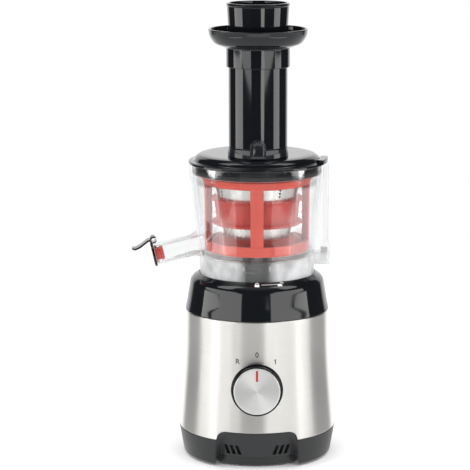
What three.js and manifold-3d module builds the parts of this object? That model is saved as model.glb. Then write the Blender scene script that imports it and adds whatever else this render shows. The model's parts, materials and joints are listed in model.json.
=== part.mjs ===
// A vertical cold press juicer, in millimetres, with Z up and the front towards -Y.
// The origin is the centre of the bottom cover's underside, on the axis of the auger.
import * as THREE from "three";
import { mergeVertices } from "three/addons/utils/BufferGeometryUtils.js";
import Module from "manifold-3d";

// How finely round pieces are drawn
const AROUND = 32;
const AROUND_MIDDLE = 24;
const AROUND_INNER = 16;
const AROUND_SMALL = 8;
const SECTOR_STEP_DEG = 11;
const ARC_STEPS = 4; // in each half of an arc in an outline

// Clearances
const GAP = 0.3; // between pieces that rest on each other
const RUN = 0.4; // round a piece that turns or slides
const OVERRUN = 3; // how far a cut runs past a face
const WELD = 0.0001; // points nearer than this are one point

// Skirt, the dark foot of the base, with its recessed vent panel at the front
const SKIRT_HEIGHT = 26;
const SKIRT_LEDGE = 0.2; // of its top edge past the shell
const SKIRT_HEEL_HEIGHT = 7;
const SKIRT_HEEL_DRAW = 3.3; // inside the top edge
const SKIRT_FOOT_DRAW = 6.9; // inside the top edge
const SKIRT_WALL = 2.6;
const SPIGOT_HEIGHT = 6;
const SPIGOT_WALL = 2;
const NOTCH_FOOT_HALF = 40;
const NOTCH_SHOULDER_HALF = 38;
const NOTCH_SHOULDER_HEIGHT = 25;
const NOTCH_TOP_HALF = 28;
const NOTCH_HEIGHT = 35;
const NOTCH_WALL = 2.4;
const PANEL_FOOT_DRAW = 7.6; // inside the skirt's foot
const PANEL_STEP_HEIGHT = 9;
const PANEL_STEP = 1.2;
const VENT_COUNT = 3; // on each side of the panel
const VENT_WIDTH = 2.6;
const VENT_LENGTH = 10;
const VENT_PITCH = 5.2;
const VENT_FIRST = 17.5; // from the middle of the panel
const VENT_HEIGHT = 16;
const VENT_LEAN_DEG = 20;
const VENT_DEPTH = 11; // of the cut, in from the panel's foot
const DECK_HEIGHT = 23;
const DECK_THICKNESS = 3;
const DECK_BORE = 27;
const PILLAR_INSET = 9.2; // inside the shell's top
const PILLAR_RADIUS = 4;
const PILLAR_BORE = 1.8;
const GLAND_HEIGHT = 14;
const GLAND_RADIUS = 5;
const GLAND_FLANGE = 1.8;
const GLAND_BORE = 3.2;

// Bottom cover, its feet and screws
const COVER_THICKNESS = 3;
const FOOT_INSET = 20.6; // inside the skirt's foot
const FOOT_RADIUS = 7;
const FOOT_STAND = 1.6; // below the cover
const FOOT_SINK = 1.2; // into the cover
const SCREW_INSET = 14.6; // inside the skirt's foot
const SCREW_HEAD_RADIUS = 2.8;
const SCREW_HEAD_HEIGHT = 1.5;
const SCREW_RADIUS = 1.3;
const SCREW_LENGTH = 12;
const SCREW_BOSS_RADIUS = 4;
const SCREW_ANGLES_DEG = [60, 180, 300];

// Steel shell
const SHELL_HEIGHT = 115;
const SHELL_TOP_RADIUS = 69.2; // the rest of the base takes its radii from this one
const SHELL_FLARE = 6.1; // of its foot past its top
const SHELL_WALL = 1;
const SHELL_FLARE_shares = [ // share of the height from the top, share of the flare
  [0, 0], [0.3, 0.07], [0.5, 0.28], [0.72, 0.6], [1, 1],
];

// Collar, the gloss top of the base
const COLLAR_HEIGHT = 35.6;
const COLLAR_RIDGE_DROP = 6.6; // from the mouth down to the ridge
const COLLAR_RIDGE_share = 0.4015; // of the way in from the shell to the mouth
const COLLAR_WALL = 2.8;
const COLLAR_LIP = 0.7;
const COLLAR_BULGE_shares = [[0.31, 0.34], [0.88, 0.86]]; // of height to the ridge, of the taper
const COLLAR_CHAMFER_shares = [[0.3, 0.47]]; // of the way in, of the way up
const WELL_DEPTH = 8.6;
const WELL_FLOOR = 3;
const TOWER_RADIUS = 16.5;
const TOWER_HEIGHT = 10;
const TOWER_WALL = 3;

// Bowl
const BOWL_FOOT_RADIUS = 54.9;
const BOWL_FOOT_WALL = 2;
const BOWL_FOOT_HEIGHT = 27.3;
const BOWL_FLOOR_THICKNESS = 2.4;
const BOWL_WALL = 2.2;
const BOWL_WAIST_RADIUS = 56.1;
const BOWL_SHOULDER_RADIUS = 63.1;
const BOWL_RIM_RADIUS = 65;
const BOWL_SIDE_HEIGHT = 66; // floor to shoulder
const BOWL_RIM_HEIGHT = 18; // shoulder to rim
const BOWL_RIM_FLARE = 3; // height in which the shoulder widens
const RIM_SOCKET_DEPTH = 9.5;
const RIM_WALL = 2.8;
const RIM_LEDGE = 1.3;
const HUB_RADIUS = 13;
const HUB_DROP = 4.6;
const SEAL_HEIGHT = 2.4;
const SEAL_WIDTH = 1.6;

// Bayonet lugs between base and bowl, and between bowl and lid
const FOOT_LUG_ANGLES_DEG = [-131, -90, -49, 49, 90, 131];
const FOOT_LUG_HALF_DEG = 7;
const FOOT_LUG_REACH = 2.5;
const FOOT_LUG_HEIGHT = 3;
const BOWL_TURN_DEG = 21;
const LID_LUG_ANGLES_DEG = [-105, -45, 75, 135];
const LID_LUG_HALF_DEG = 6;
const LID_LUG_REACH = 1.4;
const LID_LUG_HEIGHT = 2.6;
const LID_LUG_RISE = 1; // above the skirt's lower edge
const LID_TURN_DEG = 20;
const LUG_SLACK_DEG = 1;

// Juice spout and its stopper
const SPOUT_TURN_DEG = 6; // towards the front
const SPOUT_SLOPE_DEG = 13;
const SPOUT_ROOT_HEIGHT = 6.4; // axis above the bowl's floor, at the wall
const SPOUT_LENGTH = 42.5;
const SPOUT_RADIUS = 10.4;
const SPOUT_BORE = 8.8;
const HINGE_RISE = 14.9; // above the spout's axis
const HINGE_BACK = 0.9; // behind the mouth
const HINGE_PIN_RADIUS = 1.5;
const HINGE_EAR_RADIUS = 2.7;
const HINGE_EAR_THICKNESS = 1.6;
const HINGE_EAR_LENGTH = 9;
const CLIP_THICKNESS = 1.5;
const CLIP_MOUTH_DEG = 70;
const LEVER_WIDTH = 12;
const LEVER_THICKNESS = 1.8;
const LEVER_REACH = 21.6;
const LEVER_DROP = 4.9;
const LEVER_shares = [[0, 0], [0.14, 0.02], [0.3, -0.28], [0.62, -0.84], [0.86, -1], [1, -0.75]];
const CAP_RADIUS = 11.5;
const CAP_THICKNESS = 2.6;
const PLUG_LENGTH = 8;
const PLUG_shares = [ // share of the length, share of the bore
  [0, 0.966], [0.24, 0.966], [0.3, 0.7], [0.58, 0.66], [0.64, 0.83], [0.92, 0.79], [1, 0.68],
];

// Pulp outlet, under the floor towards the back
const PULP_HALF_WIDTH = 9;
const PULP_NEAR = 20;
const PULP_DEEP = 11;
const PULP_CHANNEL_HEIGHT = 11.8;
const PULP_WALL = 2.2;
const PULP_MOUTH = 82;
const CHUTE_WALL = 1.6;

// Column on the right, with the rod of the safety interlock
const ROD_PLACE = 65.2;
const ROD_HALF = 1.4;
const ROD_TRAVEL = 3;
const ROD_STAND = 1.4; // above the bowl's rim
const COLUMN_REACH = 68.4;
const COLUMN_HALF = 5.5;
const BLOCK_REACH = 69.7;
const BLOCK_HALF = 7;
const BLOCK_CLEAR = 7.4; // above the collar
const BLOCK_HEIGHT = 20.5;
const MAGNET_INNER = 61.2;
const MAGNET_OUTER = 67.6;
const MAGNET_HALF = 3.2;
const MAGNET_HEIGHT = 5;
const CAP_PLATE = 2;
const SPRING_HEIGHT = 8;
const SPRING_RADIUS = 2.3;
const SPRING_WIRE = 0.35;
const SPRING_TURNS = 5;
const SPRING_STEPS = 8; // in each turn
const SPRING_SIDES = 5;
const REED_LENGTH = 14;
const REED_RADIUS = 2;
const REED_INSET = 5.1; // in from the collar's wall

// Strainer
const STRAINER_CLEAR = 0.9; // above the gears
const STRAINER_PLATE = 2.5;
const STRAINER_PLATE_RADIUS = 43;
const STRAINER_HUB_BORE = 15;
const STRAINER_CUP_HEIGHT = 5;
const STRAINER_CUP_WALL = 2;
const SIEVE_FOOT_RADIUS = 32.7;
const SIEVE_TOP_RADIUS = 40.6;
const SIEVE_HEIGHT = 55;
const SIEVE_WALL = 0.8;
const BELT_RISE = 16.2; // above the plate
const BELT_HEIGHT = 24.8;
const BELT_FOOT_RADIUS = 43;
const BELT_TOP_RADIUS = 44;
const BELT_WAIST_RADIUS = 41.2;
const BELT_WALL = 2.1;
const BELT_RIM_HEIGHT = 2.4;
const CROWN_HEIGHT = 14.2;
const CROWN_RADIUS = 46;
const CROWN_LAP = 2;
const CROWN_WALL = 2.2;

// Brush cage
const CAGE_RADIUS = 50;
const CAGE_RING_HEIGHT = 9.4;
const CAGE_TOP_RISE = 64.3; // cage foot to the top ring's foot
const CAGE_TOP_HEIGHT = 10.2;
const CAGE_TOP_INNER = 48.4;
const CAGE_TOP_RADIUS = 50.9;
const CAGE_SHOULDER_RADIUS = 52.6;
const CAGE_FLANGE_RADIUS = 54.6;
const CAGE_FLANGE_RISE = 5.5;
const CAGE_FLANGE_HEIGHT = 1.5;
const CAGE_ARM_WIDTH = 12.5;
const CAGE_ARM_THICKNESS = 2.6;
const CAGE_RIM_INNER = 46.2;
const WIPER_WIDTH = 4;
const WIPER_INNER = 42.8;
const WIPER_ANGLES_DEG = { front: -90, right: 0, back: 90, left: 180 };

// Gears in the bowl
const BRUSH_MODULE = 2;
const SUN_TEETH = 14;
const IDLER_TEETH = 15;
const RING_TEETH = 44;
const BRUSH_GEAR_FACE = 5.6;
const BRUSH_GEAR_CLEAR = 1; // above the floor
const IDLER_PIN_RADIUS = 3;
const IDLER_PIN_SINK = 3.6;
const IDLER_BOSS_RADIUS = 5.5;
const ADDENDUM_share = 0.84;
const DEDENDUM_share = 1.16;
const BACKLASH_share = 0.12; // of the module
const PRESSURE_DEG = 20;

// Auger and its shaft
const AUGER_SHAFT_RADIUS = 7;
const AUGER_JOURNAL_RADIUS = 9.2;
const AUGER_FOOT_RADIUS = 26;
const AUGER_TOP_RADIUS = 11;
const AUGER_HEIGHT = 67.4;
const AUGER_HUB_RADIUS = 13.6;
const FLIGHT_TURNS = 1.75;
const FLIGHT_STEPS = 20; // in each turn
const FLIGHT_THICKNESS = 4;
const FLIGHT_CLEAR = 1.1;
const FLIGHT_START = 6;
const FLIGHT_END = 61;
const AUGER_PIN_RADIUS = 4;
const AUGER_PIN_LENGTH = 8.4;

// Dog coupling between base and bowl
const DOG_COUNT = 3;
const DOG_ARC_DEG = 36;
const DOG_LEAD_DEG = 30; // free play that lets the bowl turn
const DOG_CORE_RADIUS = 5.5;
const CUP_RADIUS = 14.5;
const CUP_BORE = 10.2;
const CUP_DOG_INNER = 6.2;
const CUP_HEIGHT = 8;
const CUP_FLOOR = 2;
const CUP_CLEAR = 0.5;

// Drive train in the base
const DRIVE_SHAFT_RADIUS = 6;
const DRIVE_SEAL_HEIGHT = 3.2;
const DRIVE_SEAL_RADIUS = 12;
const GEARBOX_CLEAR = 9.292; // inside the shell's top
const PINION_TEETH = 10;
const WHEEL_TEETH = 40;
const FIRST_FACE = 7;
const SECOND_FACE = 10;
const GEAR_SPACE = 1.5; // between stages and off the walls
const GEAR_BORE_GAP = 0.3;
const AXLE_RADIUS = 2.5;
const AXLE_SINK = 1.6;
const BOX_WALL = 2.4;
const BOX_FLOOR = 3;
const LID_PLATE_THICKNESS = 3;
const LID_PLATE_CLEAR = 3.7; // inside the shell's top
const WIRE_HOLE_RADIUS = 9;
const WIRE_HOLE_INSET = 19.5; // inside the plate's edge
const BUSH_LENGTH = 10;
const BUSH_WALL = 3.4;
const BUSH_HOUSING_WALL = 2.4;

// Motor
const MOTOR_RADIUS = 33;
const MOTOR_HEIGHT = 76;
const MOTOR_WALL = 1.6;
const MOTOR_FLOOR = 2;
const END_CAP_THICKNESS = 3;
const MOTOR_SHAFT_RADIUS = 3.4;
const STATOR_INNER = 21;
const STATOR_HEIGHT = 44;
const STATOR_RISE = 14;
const ROTOR_AIR = 0.8;
const FAN_RADIUS = 24;
const FAN_HEIGHT = 8;
const FAN_DROP = 4; // below the deck
const FAN_BLADES = 6;
const FAN_BLADE = 1.8;
const FAN_HUB_RADIUS = 7;
const FAN_DISC = 1.6;

// Knob and switch
const KNOB_HEIGHT = 77;
const KNOB_RADIUS = 23.4;
const KNOB_DEPTH = 7;
const KNOB_STAND_OFF = 0.5;
const BEZEL_RADIUS = 24.5;
const BEZEL_BORE = 10;
const BEZEL_STAND = 1.5;
const BEZEL_DEPTH = 6;
const DISC_RADIUS = 22.5;
const DISC_THICKNESS = 0.9;
const POINTER_WIDTH = 2.1;
const POINTER_LENGTH = 10.5;
const POINTER_OUTER = 20;
const POINTER_STAND = 0.15;
const SPINDLE_RADIUS = 3;
const SPINDLE_LENGTH = 5;
const SWITCH_HALF = 11;
const SWITCH_DEPTH = 20;
const SWITCH_BUSH_RADIUS = 6;
const SWITCH_BACK = 5; // behind the shell's face

// Lid
const LID_FLANGE_STAND = 0.4; // past the bowl's rim
const LID_FLANGE_THICKNESS = 2.4;
const LID_HEIGHT = 9.2;
const LID_FLAT_DRAW = 11; // inside the shoulder
const LID_SHOULDER_DRAW = 4.8; // inside the flange
const LID_WALL = 2.4;
const LID_SKIRT_DEPTH = 6;
const LID_DOME_shares = [[0, 0.28], [0.18, 0.7], [0.5, 0.93]]; // of the way in, of the way up
const LID_RING_RADIUS = 43.4;
const LID_RING_WALL = 2.4;
const LID_BOSS_RADIUS = 7;
const LID_BOSS_DEPTH = 6.5;
const LID_RIB_HALF = 3;
const LID_RIB_REACH = 56;
const LID_SEAL_WIDTH = 1.7;
const TAB_STAND = 2.4; // past the flange
const TAB_LENGTH = 6.8;
const TAB_HEIGHT = 6; // above the bowl's rim
const TAB_LEAD_DEG = 3;
const TAB_TAIL_DEG = 23;
const TAB_MARGIN_DEG = 1.5; // of the room under the tab past its ends
const TAB_GAP = 0.5;

// Feed tube, tray and pusher, on an axis in front of the auger's
const TUBE_FORWARD = 21;
const TUBE_ASIDE = 1;
const TUBE_RADIUS = 27.7;
const TUBE_WALL = 3;
const TUBE_NECK_WALL = 1.7;
const TUBE_HEIGHT = 102.9; // lid's top to the tube's top
const TUBE_DROP = 5.5; // below the lid's top
const BOOT_HEIGHT = 8.6;
const BOOT_STAND = 0.9; // past the tube
const TONGUE_HALF_DEG = 15;
const TONGUE_RISE = 19;
const TONGUE_STAND = 1.8;
const TRAY_COLLAR_DEPTH = 18.6;
const TRAY_COLLAR_WALL = 1.9;
const TRAY_FLOOR = 2.4;
const TRAY_BRIM = 19.1; // past the tube
const TRAY_HEIGHT = 14.5; // floor to rim
const TRAY_WALL = 2.4;
const TRAY_FLAT = 3.5; // flat ring outside the collar
const TRAY_BOWL_shares = [[0, 0], [0.6, 0.2], [0.92, 0.6], [1, 1]]; // of the way out, up
const PUSHER_CLEAR = 0.5;
const PUSHER_WALL = 2.4;
const PUSHER_DEPTH = 87;
const PUSHER_HEAD_HEIGHT = 38.5;
const PUSHER_HEAD_DRAW = 0.5; // inside the tube's outside, at its foot
const PUSHER_HEAD_FLARE = 2.1; // of its top past its foot
const PUSHER_LIP = 3;
const PUSHER_LIP_STAND = 0.5;

// Heights that follow from the sizes above
const shellFoot = SKIRT_HEIGHT + GAP;
const shellTop = SKIRT_HEIGHT + SHELL_HEIGHT;
const collarFoot = shellTop + GAP;
const collarTop = shellTop + COLLAR_HEIGHT;
const collarRidge = collarTop - COLLAR_RIDGE_DROP;
const wellFloor = collarTop - WELL_DEPTH;
const towerTop = wellFloor + TOWER_HEIGHT;
const bowlFoot = wellFloor + GAP;
const floorUnder = bowlFoot + BOWL_FOOT_HEIGHT;
const floorTop = floorUnder + BOWL_FLOOR_THICKNESS;
const shoulder = floorTop + BOWL_SIDE_HEIGHT;
const rimTop = shoulder + BOWL_RIM_HEIGHT;
const hubFoot = floorUnder - HUB_DROP;
const cupTop = hubFoot - CUP_CLEAR;
const cupFoot = cupTop - CUP_HEIGHT;
const brushGearFoot = floorTop + BRUSH_GEAR_CLEAR;
const brushGearTop = brushGearFoot + BRUSH_GEAR_FACE;
const plateFoot = brushGearTop + STRAINER_CLEAR;
const plateTop = plateFoot + STRAINER_PLATE;
const sieveFoot = plateTop + GAP;
const sieveTop = sieveFoot + SIEVE_HEIGHT;
const crownFoot = sieveTop - CROWN_LAP;
const crownTop = crownFoot + CROWN_HEIGHT;
const cageTopFoot = brushGearFoot + CAGE_TOP_RISE;
const augerFoot = plateTop + RUN;
const augerTop = augerFoot + AUGER_HEIGHT;
const motorFoot = DECK_HEIGHT + GAP;
const motorTop = motorFoot + MOTOR_HEIGHT;
const boxFoot = motorTop + END_CAP_THICKNESS + GAP + GAP;
const firstStage = boxFoot + BOX_FLOOR + GEAR_SPACE;
const secondStage = firstStage + FIRST_FACE + GEAR_SPACE;
const boxTop = secondStage + SECOND_FACE + GEAR_SPACE;
const lidPlateFoot = boxTop + GAP;
const lidPlateTop = lidPlateFoot + LID_PLATE_THICKNESS;
const flangeFoot = rimTop + GAP;
const lidTop = flangeFoot + LID_HEIGHT;
const tubeTop = lidTop + TUBE_HEIGHT;
const trayFloorTop = tubeTop + GAP + TRAY_FLOOR;
const pusherFoot = trayFloorTop + GAP - PUSHER_DEPTH;
const pusherTop = trayFloorTop + PUSHER_HEAD_HEIGHT;

// Radii that follow
const shellInside = SHELL_TOP_RADIUS - SHELL_WALL;
const shellFootRadius = SHELL_TOP_RADIUS + SHELL_FLARE;
const skirtTopRadius = shellFootRadius + SKIRT_LEDGE;
const skirtHeelRadius = skirtTopRadius - SKIRT_HEEL_DRAW;
const skirtFootRadius = skirtTopRadius - SKIRT_FOOT_DRAW;
const panelFootRadius = skirtFootRadius - PANEL_FOOT_DRAW;
const pillarRing = SHELL_TOP_RADIUS - PILLAR_INSET;
const lidPlateRadius = shellInside - LID_PLATE_CLEAR;
const driveModule = (shellInside - GEARBOX_CLEAR - GEAR_SPACE - BOX_WALL)
  / (WHEEL_TEETH + PINION_TEETH / 2 + ADDENDUM_share);
const wellRadius = BOWL_FOOT_RADIUS + RUN;
const mouthRadius = wellRadius + COLLAR_LIP;
const ridgeRadius = SHELL_TOP_RADIUS + (mouthRadius - SHELL_TOP_RADIUS) * COLLAR_RIDGE_share;
const lidFlangeRadius = BOWL_RIM_RADIUS + LID_FLANGE_STAND;
const lidShoulderRadius = lidFlangeRadius - LID_SHOULDER_DRAW;
const lidFlatRadius = lidShoulderRadius - LID_FLAT_DRAW;
const tabReach = lidFlangeRadius + TAB_STAND;
const tabInner = tabReach - TAB_LENGTH;
const driveBore = DRIVE_SHAFT_RADIUS + RUN;
const hubBore = AUGER_JOURNAL_RADIUS + RUN;
const rimInner = BOWL_RIM_RADIUS - RIM_WALL;
const skirtOuter = rimInner - RUN;
const wheelRadius = (driveModule * WHEEL_TEETH) / 2;
const pinionRadius = (driveModule * PINION_TEETH) / 2;
const stageCentre = wheelRadius + pinionRadius;
const boxInner = wheelRadius + driveModule * ADDENDUM_share + GEAR_SPACE;
const boxOuter = boxInner + BOX_WALL;
const idlerCentre = (BRUSH_MODULE * (SUN_TEETH + IDLER_TEETH)) / 2;
const tubeInner = TUBE_RADIUS - TUBE_WALL;
const bootRadius = TUBE_RADIUS + BOOT_STAND;
const trayRadius = TUBE_RADIUS + TRAY_BRIM;
const headFootRadius = TUBE_RADIUS - PUSHER_HEAD_DRAW;
const headTopRadius = headFootRadius + PUSHER_HEAD_FLARE;
const neckRadius = tubeInner + TUBE_NECK_WALL;

const deg = (angle) => (angle * Math.PI) / 180;
const mix = (from, to, share) => from + (to - from) * share;
const around = (radius, angle) => [radius * Math.cos(deg(angle)), radius * Math.sin(deg(angle))];

// Radius of a polyline of [radius, height] at a height
function radiusAt(line, height) {
  const next = line.findIndex((point) => point[1] >= height);
  if (next < 1) return next === 0 ? line[0][0] : line[line.length - 1][0];
  const [low, high] = [line[next - 1], line[next]];
  return mix(low[0], high[0], (height - low[1]) / (high[1] - low[1]));
}

// Solids: closed geometries that can be joined and cut
const wasm = await Module();
wasm.setup();

function solid(geometry) {
  if (!geometry.isBufferGeometry) return geometry;
  const bare = new THREE.BufferGeometry();
  const source = geometry.index ? geometry.toNonIndexed() : geometry;
  bare.setAttribute("position", source.getAttribute("position"));
  const merged = mergeVertices(bare, WELD);
  const places = merged.attributes.position.array;
  const corners = [];
  let volume = 0;
  const corner = new THREE.Vector3();
  const cross = new THREE.Vector3();
  const third = new THREE.Vector3();
  for (let i = 0; i < merged.index.count; i += 3) {
    const [a, b, c] = [0, 1, 2].map((step) => merged.index.array[i + step]);
    if (a === b || b === c || c === a) continue;
    corners.push(a, b, c);
    corner.fromArray(places, 3 * a);
    cross.fromArray(places, 3 * b).cross(third.fromArray(places, 3 * c));
    volume += corner.dot(cross);
  }
  if (volume < 0) corners.reverse();
  const triVerts = new Uint32Array(corners);
  return new wasm.Manifold(new wasm.Mesh({ numProp: 3, vertProperties: places, triVerts }));
}

const join = (first, ...others) => others.reduce((sum, other) => sum.add(solid(other)), solid(first));
const cut = (first, ...others) => others.reduce((rest, other) => rest.subtract(solid(other)), solid(first));
const common = (first, other) => solid(first).intersect(solid(other));

// A closed profile of [radius, height] turned about Z
function turned(profile, sides = AROUND) {
  const points = [...profile, profile[0]].map(([radius, height]) => new THREE.Vector2(radius, height));
  return new THREE.LatheGeometry(points, sides).rotateX(Math.PI / 2);
}

const disc = (radius, low, high, sides = AROUND_INNER) =>
  turned([[0, low], [radius, low], [radius, high], [0, high]], sides);

const ring = (inner, outer, low, high, sides = AROUND) =>
  turned([[inner, low], [outer, low], [outer, high], [inner, high]], sides);

function box(x0, x1, y0, y1, z0, z1) {
  const block = new THREE.BoxGeometry(x1 - x0, y1 - y0, z1 - z0);
  return block.translate((x0 + x1) / 2, (y0 + y1) / 2, (z0 + z1) / 2);
}

const shapeOf = (points) => new THREE.Shape(points.map(([x, y]) => new THREE.Vector2(x, y)));

// A flat outline raised from one height to another
function raised(outline, low, high, curveSegments = ARC_STEPS) {
  const shape = Array.isArray(outline) ? shapeOf(outline) : outline;
  const depth = high - low;
  return new THREE.ExtrudeGeometry(shape, { depth, bevelEnabled: false, curveSegments }).translate(0, 0, low);
}

// An outline drawn as seen from the front, in X and height, and run from one depth to another
const frontal = (outline, near, far) => raised(outline, near, far).rotateX(Math.PI / 2);

// An outline of [radius, height] as a plate of some width, standing at an angle about Z
const bladeAt = (outline, width, angle) =>
  raised(outline, -width / 2, width / 2).rotateX(Math.PI / 2).rotateZ(deg(angle));

// A piece of a ring between two angles in degrees
function sector(inner, outer, low, high, from, to) {
  const shape = new THREE.Shape();
  shape.absarc(0, 0, outer, deg(from), deg(to), false);
  shape.absarc(0, 0, inner, deg(to), deg(from), true);
  return raised(shape, low, high, Math.max(1, Math.round((to - from) / SECTOR_STEP_DEG / 2)));
}

// Outline of a gear with involute flanks. Slack widens or narrows each tooth, and tip and root are radii
function gearOutline(teeth, module, tip, root, slack, turn) {
  const pitch = (module * teeth) / 2;
  const base = pitch * Math.cos(deg(PRESSURE_DEG));
  const involute = (radius) => {
    const angle = Math.acos(Math.min(1, base / radius));
    return Math.tan(angle) - angle;
  };
  const half = (radius) =>
    Math.PI / (2 * teeth) + slack / pitch + involute(pitch) - involute(Math.max(radius, base));
  const [low, high] = [Math.min(tip, root), Math.max(tip, root)];
  const flank = teeth > RING_TEETH - IDLER_TEETH ? [low, high] : [low, (low + high) / 2, high];
  const points = [];
  for (let tooth = 0; tooth < teeth; tooth++) {
    const middle = deg(turn) + (2 * Math.PI * tooth) / teeth;
    for (const radius of flank) points.push(polar(radius, middle - half(radius)));
    for (const radius of [...flank].reverse()) points.push(polar(radius, middle + half(radius)));
  }
  return points;
}

const polar = (radius, angle) => [radius * Math.cos(angle), radius * Math.sin(angle)];

// A gear standing outwards, thinned by the backlash, with one tooth pointing at the angle
function toothed(teeth, module, angle) {
  const pitch = (module * teeth) / 2;
  const [tip, root] = [pitch + module * ADDENDUM_share, pitch - module * DEDENDUM_share];
  return gearOutline(teeth, module, tip, root, (-module * BACKLASH_share) / 2, angle);
}

// A stadium outline round two centres on the Y axis
function stadium(radius, reach) {
  const shape = new THREE.Shape();
  shape.absarc(0, 0, radius, Math.PI, 2 * Math.PI, false);
  shape.absarc(0, reach, radius, 0, Math.PI, false);
  return shape;
}

const FINISHES = {
  steel: { color: 0xd9d6d0, roughness: 0.32, metalness: 1 },
  gloss_black: { color: 0x15181b, roughness: 0.12, metalness: 0 },
  dark_grey: { color: 0x3b3d3f, roughness: 0.5, metalness: 0 },
  boot_grey: { color: 0x33363a, roughness: 0.4, metalness: 0 },
  clear: { color: 0xe8eef0, roughness: 0.05, metalness: 0, transparent: true, opacity: 0.3 },
  red: { color: 0xc8443a, roughness: 0.35, metalness: 0 },
  red_clear: { color: 0xd98a86, roughness: 0.25, metalness: 0, transparent: true, opacity: 0.7 },
  red_rubber: { color: 0xc4433b, roughness: 0.5, metalness: 0 },
  rubber: { color: 0x232426, roughness: 0.8, metalness: 0 },
  white: { color: 0xe6e4de, roughness: 0.4, metalness: 0 },
  aluminium: { color: 0xc9c9c6, roughness: 0.28, metalness: 1 },
  zinc: { color: 0x9fa3a6, roughness: 0.35, metalness: 1 },
  iron: { color: 0x5f6265, roughness: 0.5, metalness: 1 },
  brass: { color: 0xb08d4a, roughness: 0.35, metalness: 1 },
};
const materials = Object.fromEntries(
  Object.entries(FINISHES).map(([name, look]) => [name, new THREE.MeshStandardMaterial({ name, ...look })]),
);

// A named mesh made of a solid, added to its group
function piece(group, name, shape, finish) {
  const { numProp, vertProperties, triVerts } = solid(shape).getMesh();
  const geometry = new THREE.BufferGeometry();
  const places = new Float32Array((vertProperties.length / numProp) * 3);
  for (let i = 0; i * numProp < vertProperties.length; i++)
    places.set(vertProperties.subarray(i * numProp, i * numProp + 3), i * 3);
  geometry.setAttribute("position", new THREE.BufferAttribute(places, 3));
  geometry.setIndex(new THREE.BufferAttribute(triVerts, 1));
  geometry.computeVertexNormals();
  const mesh = new THREE.Mesh(geometry, materials[finish]);
  mesh.name = name;
  group.add(mesh);
  return mesh;
}

// Outer line of the steel shell, from its foot to its top
const shellLine = [...SHELL_FLARE_shares].reverse().map(([down, flare]) => [
  mix(SHELL_TOP_RADIUS, shellFootRadius, flare),
  mix(shellTop, shellFoot, down),
]);
const shellRadius = (height) => radiusAt(shellLine, height);

// Frame of the knob: its axis stands square to the shell's lean at its height
const knobLean = Math.atan2(
  shellRadius(KNOB_HEIGHT - KNOB_RADIUS) - shellRadius(KNOB_HEIGHT + KNOB_RADIUS),
  KNOB_RADIUS + KNOB_RADIUS,
);
const knobFrame = new THREE.Matrix4()
  .makeRotationX(Math.PI / 2 - knobLean)
  .setPosition(0, -shellRadius(KNOB_HEIGHT), KNOB_HEIGHT);

// Frame of the spout: X runs out along its axis and Z stands square to it, from the bowl's wall
const spoutFrame = new THREE.Matrix4()
  .makeRotationZ(Math.PI + deg(SPOUT_TURN_DEG))
  .multiply(new THREE.Matrix4().makeTranslation(BOWL_WAIST_RADIUS, 0, floorTop + SPOUT_ROOT_HEIGHT))
  .multiply(new THREE.Matrix4().makeRotationY(deg(SPOUT_SLOPE_DEG)));

// The notch in the front of the skirt and shell, grown by a wall
function notch(grow) {
  const shape = new THREE.Shape();
  const top = NOTCH_HEIGHT + grow;
  shape.moveTo(-NOTCH_FOOT_HALF - grow, -OVERRUN);
  shape.lineTo(NOTCH_FOOT_HALF + grow, -OVERRUN);
  shape.lineTo(NOTCH_SHOULDER_HALF + grow, NOTCH_SHOULDER_HEIGHT);
  shape.quadraticCurveTo(NOTCH_SHOULDER_HALF + grow, top, NOTCH_TOP_HALF, top);
  shape.lineTo(-NOTCH_TOP_HALF, top);
  shape.quadraticCurveTo(-NOTCH_SHOULDER_HALF - grow, top, -NOTCH_SHOULDER_HALF - grow, NOTCH_SHOULDER_HEIGHT);
  return raised(shape, 0, skirtTopRadius + OVERRUN, ARC_STEPS).rotateX(Math.PI / 2);
}

// Face of the vent panel, as [radius, height], leaning out from its foot to the shell
const panelTop = NOTCH_HEIGHT + NOTCH_WALL;
const panelTopRadius = shellRadius(NOTCH_HEIGHT) - SHELL_WALL - GAP - GAP;
const panelSlope = (height) => mix(panelFootRadius, panelTopRadius, height / NOTCH_HEIGHT);
const panelLine = [
  [panelFootRadius, 0],
  [panelFootRadius + PANEL_STEP / 2, PANEL_STEP_HEIGHT],
  [panelSlope(PANEL_STEP_HEIGHT) - PANEL_STEP / 2, PANEL_STEP_HEIGHT],
  [panelTopRadius, NOTCH_HEIGHT],
  [shellRadius(panelTop) - SHELL_WALL - GAP - GAP, panelTop],
];
const inwards = (line, by) => line.map(([radius, height]) => [radius - by, height]);

const juicer = new THREE.Group();
juicer.name = "cold_press_juicer";
const base = new THREE.Group();
juicer.add(base);

const pillarAngles = [45, 135, 225, 315];
const pillarPlaces = pillarAngles.map((angle) => around(pillarRing, angle));
const screwPlaces = SCREW_ANGLES_DEG.map((angle) => around(skirtFootRadius - SCREW_INSET, angle));
const movedTo = (geometry, [x, y]) => geometry.translate(x, y, 0);

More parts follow.
